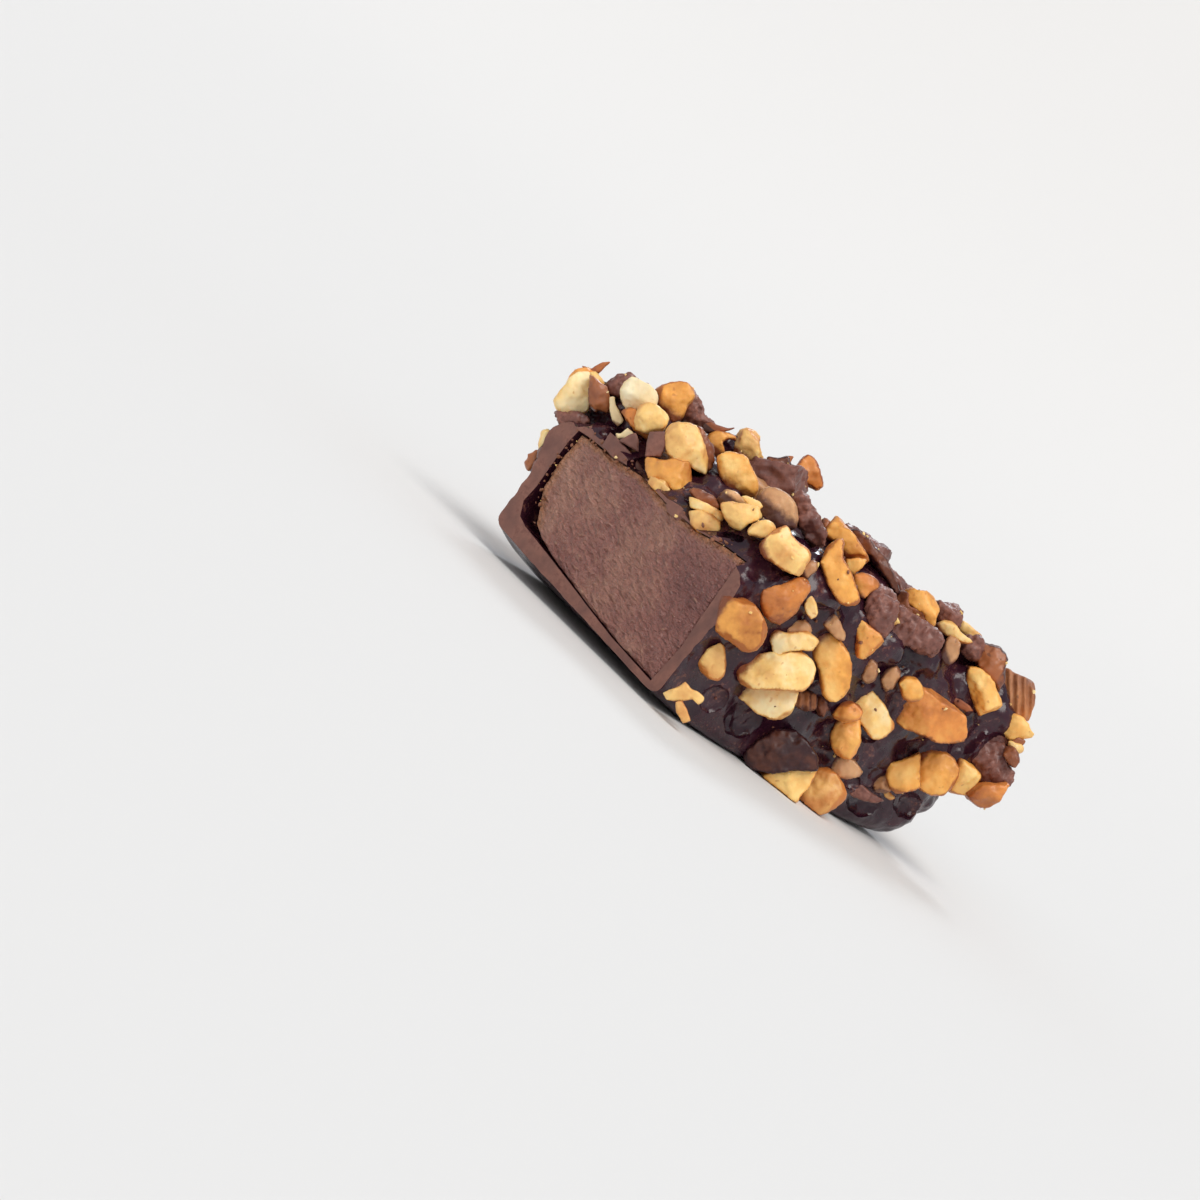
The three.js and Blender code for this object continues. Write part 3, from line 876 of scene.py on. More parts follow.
        (801, 572), (798, 575), (790, 572), (782, 568), (775, 562), (765, 557), (761, 551), (762, 544),
        (768, 538), (775, 532), (781, 529),
    ]),
    "archGold": ("x", -7.4, 2.6, "roasted", 0.3, [
        (784, 487), (786, 478), (790, 470), (797, 467), (802, 460), (807, 456), (812, 458), (817, 465),
        (819, 475), (822, 486), (816, 489), (808, 484), (800, 480), (795, 488),
    ]),
    "archPeel": ("x", -5.6, 2.4, "peel", -0.2, [
        (768, 458), (775, 460), (782, 459), (788, 458), (790, 466), (787, 475), (783, 486), (775, 484),
        (770, 475),
    ]),
    "longGold": ("x", 11.7, 3.0, "gold", 0.4, [
        (837, 541), (843, 540), (844, 545), (842, 552), (842, 560), (846, 567), (850, 575), (853, 583),
        (857, 592), (859, 600), (856, 604), (848, 605), (840, 602), (835, 596), (831, 588), (826, 580),
        (822, 572), (820, 565), (824, 557), (828, 548),
    ]),
    "edgeGold": ("x", 6.8, 3.4, "gold", 0.1, [
        (838, 517), (842, 521), (846, 528), (851, 533), (857, 541), (863, 549), (868, 559), (864, 563),
        (856, 562), (848, 560), (843, 555), (842, 548), (843, 542), (838, 540), (830, 541), (825, 535),
        (827, 528), (833, 522),
    ]),
    "edgeGoldFlap": ("x", 9.4, 2.0, "gold", 0.2, [
        (846, 560), (856, 560), (866, 560), (862, 567), (855, 572), (852, 578), (848, 571),
    ]),
    "edgeTip": ("x", 5.4, 1.6, "peel", -0.7, [
        (821, 525), (825, 519), (830, 524), (828, 533), (823, 532),
    ]),
    "orangeBit": ("x", 10.9, 2.2, "roasted", 0.3, [
        (855, 577), (862, 574), (870, 576), (875, 580), (879, 585), (874, 589), (868, 592), (864, 597),
        (858, 594), (855, 586),
    ]),
    "filmTan": ("x", 5.8, 3.4, "filmed", -0.5, [
        (757, 500), (762, 493), (768, 488), (776, 490), (784, 494), (791, 500), (795, 508), (796, 518),
        (795, 527), (788, 530), (780, 528), (772, 530), (765, 520), (760, 510),
    ]),
    "orangeBlock": ("x", 0.2, 3.4, "gold", -0.5, [
        (718, 457), (722, 455), (730, 453), (738, 455), (746, 459), (750, 467), (753, 475), (757, 483),
        (757, 491), (753, 497), (747, 498), (738, 493), (728, 489), (722, 480), (719, 468),
    ]),
    "creamLobe": ("x", -8.2, 3.0, "cream", 0.1, [
        (737, 436), (741, 431), (748, 430), (755, 432), (759, 437), (758, 445), (759, 452), (762, 458),
        (757, 462), (748, 462), (740, 456), (733, 453), (734, 445),
    ]),
    "goldBridge": ("x", -6.8, 2.0, "gold", 0.5, [
        (710, 435), (718, 432), (728, 434), (736, 437), (735, 441), (728, 440), (722, 443), (724, 450),
        (722, 456), (716, 458), (711, 448), (708, 440),
    ]),
    "largeCream": ("y", 2.1, 3.2, "cream", 0.2, [
        (667, 430), (672, 425), (680, 424), (690, 425), (697, 428), (700, 437), (704, 447), (707, 457),
        (707, 467), (705, 474), (700, 472), (694, 468), (688, 463), (680, 463), (673, 458), (668, 452),
        (666, 442),
    ]),
    "largeCreamPeel": ("y", 3.2, 2.2, "peel", -0.4, [
        (697, 427), (702, 430), (708, 440), (712, 450), (713, 460), (711, 468), (706, 472), (704, 457),
        (701, 445),
    ]),
    "tanBack": ("x", -10.4, 3.2, "gold", 0.4, [
        (657, 390), (662, 387), (670, 384), (680, 383), (687, 385), (692, 391), (694, 397), (690, 402),
        (686, 405), (684, 412), (680, 420), (673, 422), (669, 416), (664, 409), (658, 404), (656, 398),
    ]),
    "creamBroken": ("y", 1.5, 3.4, "pith", -0.3, [
        (622, 390), (626, 383), (632, 378), (638, 381), (648, 386), (655, 392), (657, 398), (655, 405),
        (645, 406), (640, 406), (636, 411), (630, 412), (625, 405), (622, 398),
    ]),
    "creamChunk": ("y", 1.2, 3.0, "cream", -0.1, [
        (640, 408), (648, 404), (656, 407), (663, 412), (668, 418), (666, 423), (662, 430), (652, 431),
        (645, 432), (637, 428), (636, 420), (638, 413),
    ]),
    "tanUnder": ("y", 1.9, 2.4, "roasted", 0.4, [
        (622, 412), (630, 408), (638, 412), (637, 428), (645, 431), (660, 431), (655, 438), (645, 438),
        (636, 430), (628, 421),
    ]),
    "leftCream": ("y", 1.0, 2.6, "cream", -0.7, [
        (555, 400), (560, 393), (567, 385), (569, 380), (577, 374), (585, 372), (591, 374), (593, 385),
        (591, 395), (590, 404), (586, 410), (581, 413), (570, 414), (561, 413), (557, 407),
    ]),
    "leftPeel": ("y", 1.1, 2.4, "peel", -0.8, [
        (591, 376), (598, 383), (606, 388), (609, 397), (610, 407), (607, 412), (600, 408), (596, 410),
        (590, 404), (590, 390),
    ]),
    "leftCap": ("y", 1.5, 2.6, "roasted", 0.0, [
        (567, 384), (570, 377), (577, 371), (585, 369), (592, 370), (597, 374), (592, 378), (583, 376),
        (575, 380),
    ]),
    "leftWedge": ("y", 1.8, 2.0, "cream", 0.0, [
        (590, 373), (596, 373), (600, 379), (605, 386), (603, 389), (598, 386), (593, 380),
    ]),
    "wallCream": ("y", 0.9, 2.0, "cream", 0.1, [
        (542, 432), (548, 430), (551, 440), (549, 450), (539, 452), (540, 441),
    ]),
    "wallPeel": ("y", 1.4, 2.2, "peel", -0.8, [
        (530, 455), (537, 452), (547, 450), (545, 460), (537, 468), (528, 470), (527, 462),
    ]),
    "voidWhite": ("y", 1.2, 1.0, "pith", 0.0, [
        (610, 398), (615, 398), (616, 407), (620, 414), (623, 420), (618, 425), (613, 420), (611, 410),
    ]),
    "voidWhiteTwo": ("y", 0.5, 0.8, "pith", 0.0, [
        (617, 433), (622, 434), (627, 429), (633, 434), (628, 437), (618, 438),
    ]),
    "cutTan": ("y", 1.1, 2.6, "gold", 0.5, [
        (647, 458), (655, 459), (663, 462), (672, 460), (682, 463), (688, 463), (690, 475), (690, 487),
        (688, 497), (683, 499), (677, 492), (670, 488), (668, 482), (660, 480), (650, 478), (647, 470),
    ]),
    "cutCrumb": ("y", 0.7, 1.6, "cream", 0.3, [
        (655, 482), (662, 479), (668, 483), (671, 490), (668, 494), (660, 496), (655, 492),
    ]),
    "cutLayered": ("y", 0.9, 2.0, "cream", 0.0, [
        (690, 497), (700, 501), (710, 507), (720, 512), (723, 514), (722, 519), (719, 522), (716, 518),
        (708, 514), (700, 510), (692, 508),
    ]),
    "cutPeel": ("y", 1.5, 1.8, "peel", -0.6, [
        (690, 492), (695, 488), (702, 491), (712, 498), (720, 506), (716, 510), (706, 504), (697, 499),
    ]),
    "cutChip": ("y", 0.8, 2.0, "cream", 0.4, [
        (690, 512), (700, 511), (710, 515), (718, 523), (718, 532), (710, 536), (700, 534), (692, 524),
    ]),
    "cutLobed": ("y", 1.5, 2.6, "cream", 0.1, [
        (722, 504), (730, 503), (738, 505), (748, 505), (757, 508), (761, 517), (755, 521), (747, 522),
        (744, 526), (740, 530), (733, 526), (726, 517), (723, 510),
    ]),
    "filmFlat": ("y", 2.6, 2.2, "filmed", -0.8, [
        (718, 500), (722, 493), (728, 491), (735, 493), (740, 498), (746, 502), (740, 506), (730, 506),
        (720, 504),
    ]),
    "creamFlake": ("y", 2.0, 1.0, "cream", 0.2, [
        (742, 497), (748, 497), (758, 502), (762, 506), (758, 509), (750, 505),
    ]),
    "brownDot": ("y", 1.4, 1.8, "cream", 0.3, [
        (749, 530), (755, 525), (762, 522), (770, 522), (774, 527), (774, 532), (770, 537), (760, 536),
        (750, 534),
    ]),
    "edgeSliver": ("x", 2.2, 1.6, "cream", 0.4, [
        (809, 503), (814, 509), (818, 517), (823, 525), (821, 530), (815, 524), (810, 513),
    ]),
    "footCrumbs": ("y", 0.7, 1.2, "cream", 0.1, [
        (664, 693), (672, 690), (680, 688), (685, 683), (690, 690), (697, 692), (703, 697), (702, 701),
        (697, 704), (691, 698), (685, 699), (676, 700), (668, 699),
    ]),
    "footFlake": ("y", 0.5, 0.6, "cream", 0.9, [
        (676, 703), (682, 702), (686, 710), (690, 720), (683, 722), (678, 712),
    ]),
    "peelSpike": ("y", 1.5, 0.5, "curl", 0.0, [
        (583, 366), (588, 367), (592, 369), (597, 366), (602, 363), (610, 362), (604, 367), (599, 371),
        (595, 374), (590, 373), (586, 370),
    ]),
    "peelCurl": ("y", 2.0, 0.4, "curl", 0.2, [
        (632, 377), (638, 379), (643, 382), (649, 383), (644, 385), (638, 383), (633, 381),
    ]),
    "longCurl": ("x", -7.6, 0.5, "curl", 0.4, [
        (704, 424), (712, 422), (718, 426), (727, 428), (735, 427), (729, 430), (720, 431), (710, 432),
        (703, 430),
    ]),
    "tipCurl": ("x", -6.4, 0.5, "curl", -0.5, [
        (783, 460), (786, 457), (793, 457), (790, 461), (789, 466), (786, 466),
    ]),
    "sideShard": ("x", 12.6, 0.8, "curl", 0.4, [
        (953, 697), (960, 700), (968, 705), (972, 710), (965, 711), (957, 706), (952, 701),
    ]),
    "darkCrescent": ("x", 7.2, 2.4, "peel", 0.7, [
        (850, 532), (855, 530), (862, 534), (870, 541), (878, 551), (886, 562), (891, 571), (896, 581),
        (901, 592), (896, 595), (890, 586), (884, 576), (876, 567), (868, 557), (861, 548), (855, 540),
    ]),
    "backShard": ("y", 3.0, 2.6, "crag", 0.1, [
        (605, 387), (612, 380), (620, 377), (627, 376), (634, 377), (630, 386), (624, 396), (612, 394),
    ]),
    "tanBackFilm": ("x", -10.0, 2.6, "crag", -0.2, [
        (684, 402), (692, 392), (697, 400), (702, 410), (707, 418), (714, 425), (708, 431), (696, 427),
        (688, 425), (681, 420),
    ]),
    "backMass": ("x", 6.4, 3.4, "crag", 0.0, [
        (798, 492), (806, 498), (812, 508), (818, 520), (824, 532), (824, 545), (814, 546), (806, 536),
        (799, 522), (796, 508),
    ]),
    "ridgeMass": ("x", 11.4, 2.8, "crag", 0.1, [
        (880, 604), (892, 602), (902, 606), (914, 618), (928, 624), (936, 631), (941, 640), (938, 651),
        (930, 656), (918, 651), (911, 644), (897, 641), (887, 631), (879, 624), (876, 614),
    ]),
    "ridgeHead": ("x", 11.9, 3.2, "crag", 0.0, [
        (865, 602), (870, 591), (880, 588), (891, 592), (896, 602), (895, 616), (890, 630), (882, 638),
        (873, 632), (866, 618),
    ]),
    "farChip": ("x", 10.4, 2.2, "crag", 0.2, [
        (962, 640), (970, 635), (980, 638), (983, 650), (975, 660), (965, 654),
    ]),
    "farCrag": ("x", 9.2, 3.0, "crag", 0.0, [
        (937, 603), (945, 605), (955, 606), (962, 611), (960, 618), (958, 627), (950, 622), (942, 624),
        (938, 612),
    ]),
    "endCrag": ("y", 35.6, 3.6, "crag", 0.0, [
        (972, 752), (984, 742), (1000, 744), (1008, 752), (1004, 764), (1012, 771), (1012, 781),
        (1004, 787), (990, 788), (976, 782), (970, 768),
    ]),
    "endCragTwo": ("y", 35.4, 3.2, "crag", 0.2, [
        (974, 716), (990, 710), (1002, 718), (1010, 734), (1013, 747), (1000, 756), (986, 752), (976, 738),
    ]),
    "leftBacking": ("y", 5.4, 2.6, "lump", 0.0, [
        (574, 398), (590, 388), (606, 384), (624, 388), (646, 392), (664, 404), (668, 424), (656, 440),
        (636, 448), (610, 444), (588, 430), (572, 414),
    ]),
    "bridgeBacking": ("x", -9.2, 2.4, "lump", 0.0, [
        (702, 437), (716, 434), (732, 436), (746, 440), (752, 456), (738, 464), (718, 462), (704, 452),
    ]),
    "voidShard": ("y", 0.3, 0.7, "shard", 0.0, [
        (620, 441), (628, 437), (635, 434), (637, 440), (638, 452), (631, 447),
    ]),
    "voidShardTwo": ("y", 0.5, 1.2, "shard", 0.0, [
        (650, 433), (664, 433), (665, 444), (660, 456), (653, 455), (646, 456), (648, 444),
    ]),
    "seamPlate": ("y", 0.3, 1.0, "shard", 0.0, [
        (592, 418), (602, 421), (610, 432), (620, 443), (634, 457), (643, 470), (648, 482), (640, 481),
        (628, 470), (612, 455), (600, 442), (590, 430),
    ]),
    "seamPlateTwo": ("y", 0.4, 1.0, "shard", 0.0, [
        (664, 499), (673, 502), (682, 509), (692, 519), (699, 531), (692, 533), (681, 525), (669, 512),
    ]),
    "seamFlake": ("y", 0.2, 0.6, "cream", 0.0, [
        (646, 478), (652, 476), (660, 481), (668, 488), (672, 497), (664, 494), (655, 489), (650, 485),
    ]),
    "wallChip": ("y", 0.8, 1.6, "crag", 0.3, [
        (556, 412), (568, 414), (582, 414), (588, 420), (582, 428), (574, 434), (566, 428), (559, 420),
    ]),
    "footRimFlakes": ("x", 12.4, 1.0, "crag", -0.4, [
        (845, 784), (850, 788), (853, 784), (858, 788), (861, 785), (866, 790), (874, 795), (882, 800),
        (874, 802), (864, 800), (855, 797), (848, 791),
    ]),
    "footRimChip": ("x", 12.6, 0.8, "cream", 0.4, [
        (883, 790), (888, 792), (894, 797), (890, 799), (886, 796),
    ]),
    "sidePeel": ("x", 12.4, 2.0, "ridged", 0.3, [
        (795, 692), (803, 694), (812, 692), (817, 700), (814, 709), (806, 710), (797, 706), (793, 700),
    ]),
    "sidePeelTwo": ("x", 12.5, 1.8, "peel", 0.1, [
        (818, 698), (826, 700), (828, 708), (824, 716), (818, 714), (815, 706),
    ]),
}

nutShape = {
    "firstSeed": 301,
    "seedStep": 17,
    "grow": 0.12,  # smoothing draws a piece in by about this much
    "voxel": 0.155,
    "thinVoxel": 0.12,
    "scatteredVoxel": 0.24,
    "thin": 1.3,  # mm, below which a piece is a flake
    "flakeRelief": 0.4,  # share of the relief that a flake gets
    "smoothing": 1,
    "lumps": ((1.2, 0.2), (0.5, 0.16), (0.22, 0.09)),  # size and height of the unevenness
    "ridges": ((1.1, 0.7), (0.45, 0.42), (0.22, 0.16)),  # the same for chocolate crags
    "wrinkles": ((1.0, 0.35), (0.4, 0.2)),  # and for skins
    "skinRidges": (0.6, 0.13),  # distance and height of the fine ridges of a thick skin
    "proud": 0.48,  # share of the thickness in front of the plane in which a piece's outline lies
    "nearCut": 4.0,  # pieces this near the cut may have been cut too
    "pastCut": -0.25,  # how far broken pieces reach out of the cut face
    "furthestLeft": -16.85,
    "offTable": 0.05,
    "faces": 3,  # broad faces that meet in blunt ridges
    "faceTilt": (8, 26),
    "faceTurn": 2.1,
    "chamfers": 6,  # cuts round the rim
    "chamferTilt": (42, 76),
    "chamferDepth": (0.03, 0.36),
    "chamferJitter": 0.7,
    "chamferReach": 0.96,
    # how far up the chocolate reaches, in half thicknesses from the middle
    "filmed": 0.2,
    "smeared": -0.28,
    "sunk": -0.25,
    "clean": -1.6,
    "filmFades": 0.35,
    "toastBegins": (0.08, 0.55),  # how far a face is turned away before it was toasted
    "toastSides": (0.2, 0.95),
    "leastToast": 0.35,
    "toastAtCut": 0.4,
}

marks = ("film", "shade", "toast")  # what the almonds' materials read
reliefs = {"crag": "ridges", "lump": "ridges", "peel": "wrinkles"}


# Cuts an open piece by a plane and keeps what lies behind it
def slicePiece(place, normal):
    bpy.ops.mesh.select_all(action="SELECT")
    bpy.ops.mesh.bisect(plane_co=place, plane_no=normal, use_fill=True, clear_outer=True)


# A direction at this angle round the way to the camera and tilted this far from it
def fromCamera(around, tilt):
    sideways = cameraRight * math.cos(around) + cameraUp * math.sin(around)
    return cameraBack * math.cos(tilt) + sideways * math.sin(tilt)


# Marks how far up the piece the chocolate reaches, how dark the piece is and where its sides were toasted
def markFinish(piece, middle, thickness, shade, dipped, front, toasting, draw):
    normal = surfaceAt(middle)[1]
    toastedSide = Vector((draw() - 0.5, draw() - 0.5, draw() - 0.7)).normalized()
    fades = nutShape["filmFades"]
    film, dark, toast = (piece.data.attributes.new(name, "FLOAT", "POINT").data for name in marks)
    for index, vertex in enumerate(piece.data.vertices):
        height = (vertex.co - middle).dot(normal) / (0.5 * thickness)
        turned = smoothStep(1 - vertex.normal.dot(front), *nutShape["toastBegins"])
        towards = smoothStep(0.5 + 0.5 * vertex.normal.dot(toastedSide), *nutShape["toastSides"])
        film[index].value = 1 - smoothStep(height, dipped - fades, dipped + fades)
        # how dark the piece is: partly its own roast, partly painted light
        dark[index].value = shade
        toast[index].value = toasting * turned * mix(nutShape["leastToast"], 1.0, towards)


# A piece whose outline seen from the camera is the given one, trimmed to blunt faces
def outlinedPiece(name, seed):
    axis, plane, thickness, finish, shade, outline = outlines[name]
    draw = drawsFrom(seed)
    across = [pixel[0] for pixel in outline]
    down = [pixel[1] for pixel in outline]
    middlePixel = ((min(across) + max(across)) / 2, (min(down) + max(down)) / 2)
    middle = seenOnPlane(middlePixel, axis, plane)
    perPixel = (cameraPlace - middle).dot(cameraBack) / focalPixels
    proud = cameraBack * nutShape["proud"] * thickness
    front = middle + proud
    corners = []
    for u, v in outline:
        arm = (cameraRight * (u - middlePixel[0]) + cameraUp * (middlePixel[1] - v)) * perPixel
        corners.append(middle + arm + arm.normalized() * nutShape["grow"])
    piece = openBlock([corner + proud for corner in corners], cameraBack * -thickness)
    flake = thickness <= nutShape["thin"]
    if not flake:
        start = 2 * math.pi * draw()
        for number in range(nutShape["faces"]):
            around = start + nutShape["faceTurn"] * number
            slicePiece(front, fromCamera(around, math.radians(mix(*nutShape["faceTilt"], draw()))))
        for number in range(nutShape["chamfers"]):
            step = number + nutShape["chamferJitter"] * draw()
            around = start + 2 * math.pi * step / nutShape["chamfers"]
            tilt = math.radians(mix(*nutShape["chamferTilt"], draw()))
            depth = thickness * mix(*nutShape["chamferDepth"], draw())
            sideways = fromCamera(around, math.pi / 2)
            reach = max((corner - middle).dot(sideways) for corner in corners)
            edge = front + sideways * reach * nutShape["chamferReach"] - cameraBack * depth
            slicePiece(edge, fromCamera(around, tilt))
    if middle.y < nutShape["nearCut"]:
        slicePiece((0, nutShape["pastCut"], 0), (0, -1, 0))
    slicePiece((nutShape["furthestLeft"], 0, 0), (-1, 0, 0))
    slicePiece((0, 0, nutShape["offTable"]), (0, 0, -1))
    closeMesh()
    soften(piece, nutShape["thinVoxel" if flake else "voxel"], nutShape["smoothing"])
    for size, height in nutShape[reliefs.get(finish, "lumps")]:
        roughen(piece, size, height * (nutShape["flakeRelief"] if flake else 1))
    if finish == "ridged":
        apart, height = nutShape["skinRidges"]
        for vertex in piece.data.vertices:
            vertex.co += cameraBack * height * math.sin(vertex.co.dot(cameraRight) * 2 * math.pi / apart)
    clean = axis == "y" or finish in ("peel", "ridged", "curl", "pith")
    dipped = nutShape["filmed" if finish == "filmed" else "clean" if clean else "smeared"]
    toasting = nutShape["toastAtCut"] if axis == "y" else 1.0
    markFinish(piece, middle, thickness, shade, dipped, cameraBack, toasting, draw)
    return finish, piece


# A block of almond trimmed by knife cuts in seeded directions, as in the part's source
def scatteredPiece(row):
    x, y, z, length, turn, kind, seed = row
    width, thick, cuts, trim, bow = almondKinds[kind]
    draw = drawsFrom(seed)
    half = Vector((0.5, 0.5 * width, 0.5 * thick)) * length
    bpy.ops.mesh.primitive_cube_add(size=1, location=(0, 0, 0), scale=2 * half)
    piece = bpy.context.object
    applyPlace(piece)
    openMesh(piece)
    for number in range(cuts):
        around = 2 * math.pi * (number + almonds["cutJitter"] * draw()) / cuts
        rise = almonds["cutRise"][0] * draw() - almonds["cutRise"][1]
        way = Vector((math.cos(around), math.sin(around), rise)).normalized()
        reach = abs(way.x) * half.x + abs(way.y) * half.y + abs(way.z) * half.z
        slicePiece(way * reach * (trim + almonds["trimJitter"] * draw()), way)
    closeMesh()
    soften(piece, nutShape["scatteredVoxel"], nutShape["smoothing"])
    place = Vector((x, y, z))
    normal = surfaceAt(place)[1]
    along = Vector((1, 0, 0)) if abs(normal.y) > 0.8 else Vector((0, 1, 0))
    along = (along - normal * along.dot(normal)).normalized()
    across = normal.cross(along)
    lay = Matrix((along, across, normal)).transposed().to_4x4()
    tilt = almonds["tilt"] * (2 * drawsFrom(seed + 1000)() - 1)
    lay = lay @ Matrix.Rotation(math.radians(turn), 4, "Z") @ Matrix.Rotation(math.radians(tilt), 4, "X")
    lay.translation = place
    for vertex in piece.data.vertices:
        bowed = bow * length * (4 * (vertex.co.x / length) ** 2 - 0.4)
        vertex.co = lay @ (vertex.co + Vector((0, bowed, 0)))
    # crags, pieces that stand out and what isn't outlined on the right side are covered with chocolate
    onRight = normal.x > 0.6 and place.y < bar["length"] - 1
    covered = kind == "crag" or seed < almonds["firstScattered"] or onRight
    for size, height in nutShape["ridges" if covered else "lumps"]:
        roughen(piece, size, height)
    if place.y < nutShape["nearCut"]:
        openMesh(piece)
        slicePiece((0, -0.02, 0), (0, -1, 0))
        closeMesh()
    finish = "crag" if covered else finishFor(draw())
    shade = mix(-0.6, 0.9, draw())
    markFinish(piece, place, thick * length, shade, nutShape["sunk"], normal, 1.0, draw)
    return finish, piece


crumbs = {
    "shapes": 4,
    "width": (0.5, 0.9),  # as shares of the length
    "height": (0.35, 0.75),
    "lumps": (0.45, 0.5),
    "sizes": (0.13, 0.42),  # mm across
    "standsOut": 0.1,
    "cream": 170,  # how many lie on the outside, all round
    "chocolate": 120,
    "creamAtSeam": 9,  # and how many along the caramel's upper and left edge in the cut face
    "chocolateAtSeam": 80,
    "seamWidth": 0.9,
    "atTop": 0.7,  # share of those that lie along the upper edge
    "seed": 9011,
    # in metres, part frame: where the lines from outside aim (x, y, z), and where they find no place
    "aims": ((-0.012, 0.012), (-0.015, 0.017), (0.002, 0.016)),
    "lowest": 0.0008,
    "cutFace": -0.0165,
}


# Small lumps of different shape, to be copied
def crumbShapes(draw):
    shapes = []
    for number in range(crumbs["shapes"]):
        bpy.ops.mesh.primitive_ico_sphere_add(subdivisions=2, radius=0.5, location=(3 * number, 0, 0))
        crumb = bpy.context.object
        crumb.scale = (1, mix(*crumbs["width"], draw()), mix(*crumbs["height"], draw()))
        applyPlace(crumb)
        roughen(crumb, *crumbs["lumps"])
        crumb.data.transform(Matrix.Translation((-3 * number, 0, 0)))
        shapes.append(crumb)
    return shapes


# Where a line from outside into the bar first meets one of the pieces, in millimetres again
def spotOnOutside(trees, draw):
    while True:
        around = 2 * math.pi * draw()
        height = mix(-0.1, 1.0, draw())
        flat = math.sqrt(1 - height * height)
        way = Vector((flat * math.cos(around), flat * math.sin(around), height))
        aim = Vector([mix(*span, draw()) for span in crumbs["aims"]])
        hits = [tree.ray_cast(aim + way * 0.1, -way) for tree in trees]
        hits = [hit for hit in hits if hit[0] is not None]
        hits = [hit for hit in hits if hit[0].z > crumbs["lowest"] and hit[0].y > crumbs["cutFace"]]
        if hits:
            place, normal = min(hits, key=lambda hit: hit[3])[:2]
            return place * 1000 + Vector((0, restMiddle, 0)), normal


# A place beside the caramel's upper or left edge in the cut face
def spotAtSeam(draw):
    line = caramelTop if draw() < crumbs["atTop"] else caramelLeft
    across, up = alongLine(line, draw())
    spread = crumbs["seamWidth"]
    place = Vector((across - spread * (draw() - 0.3), -0.05, up + spread * (draw() - 0.3)))
    return place, Vector((0, -1, 0))


def scatterCrumbs(name, onOutside, atSeam, trees, draw):
    shapes = crumbShapes(draw)
    pieces = []
    for number in range(onOutside + atSeam):
        spot, normal = spotOnOutside(trees, draw) if number < onOutside else spotAtSeam(draw)
        size = mix(*crumbs["sizes"], draw() ** 2)
        model = shapes[number % len(shapes)]
        crumb = model.copy()
        crumb.data = model.data.copy()
        turn = Quaternion((draw() - 0.5, draw() - 0.5, draw() - 0.5, draw() - 0.5)).normalized()
        raised = spot + normal * size * crumbs["standsOut"]
        move = Matrix.LocRotScale(raised, turn, Vector((size, size, size)))
        crumb.data.transform(move)
        bpy.context.collection.objects.link(crumb)
        pieces.append(crumb)
    for shape in shapes:
        bpy.data.objects.remove(shape)
    return joined(pieces, name)


# Up to which draw a scattered almond gets which finish
finishShares = {"cream": 0.42, "gold": 0.72, "roasted": 0.86, "filmed": 0.94, "peel": 1.01}


def finishFor(share):
    return next(finish for finish, upTo in finishShares.items() if share < upTo)


# An sRGB hex colour as linear red, green, blue and alpha
def linear(hexColour):
    levels = [int(hexColour[start:start + 2], 16) / 255 for start in (0, 2, 4)]
    channels = [level / 12.92 if level <= 0.04045 else ((level + 0.055) / 1.055) ** 2.4 for level in levels]
    return channels + [1.0]


def newMaterial(name):
    material = bpy.data.materials.new(name)
    material.use_nodes = True
    material.node_tree.nodes.clear()
    return material


# Adds a node with its settings and links. A setting is a socket's value, or the socket that feeds it.
def addNode(material, kind, sockets=None, **settings):
    tree = material.node_tree
    node = tree.nodes.new(kind)
    for name, value in settings.items():
        setattr(node, name, value)
    for name, value in (sockets or {}).items():
        socket = node.inputs[name]
        if isinstance(value, bpy.types.NodeSocket):
            tree.links.new(value, socket)
        else:
            socket.default_value = value
    return node


# Gives a colour ramp its places and colours
def setStops(ramp, *stops):
    elements = ramp.color_ramp.elements
    while len(elements) < len(stops):
        elements.new(0.5)
    for element, (place, colour) in zip(elements, stops):
        element.position = place
        element.color = linear(colour)


# The Scale of a pattern on Object coordinates whose lumps are this many millimetres across
def lumpsOf(millimetres):
    return 1000 / millimetres


# A material's uneven patterns by name, each from the size of its lumps, its detail and its roughness
def addPatterns(material, place, patterns):
    outputs = {}
    for name, (millimetres, detail, roughness) in patterns.items():
        outputs[name] = addNode(material, "ShaderNodeTexNoise", {
            "Vector": place, "Scale": lumpsOf(millimetres), "Detail": detail, "Roughness": roughness,
        }).outputs["Fac"]
    return outputs


chocolateLook = {
    "dust": "74483E",  # rubbed and broken places, dusty with fat bloom
    "dustBegins": (0.34, 0.42),
    "dustier": (0.12, 0.08),  # how much sooner on fully dusty chocolate
    "patterns": {"broad": (2.4, 4.0, 0.6), "fine": (0.35, 3.0, 0.6)},  # millimetres, detail, roughness
    "grainHeight": 0.00006,
}


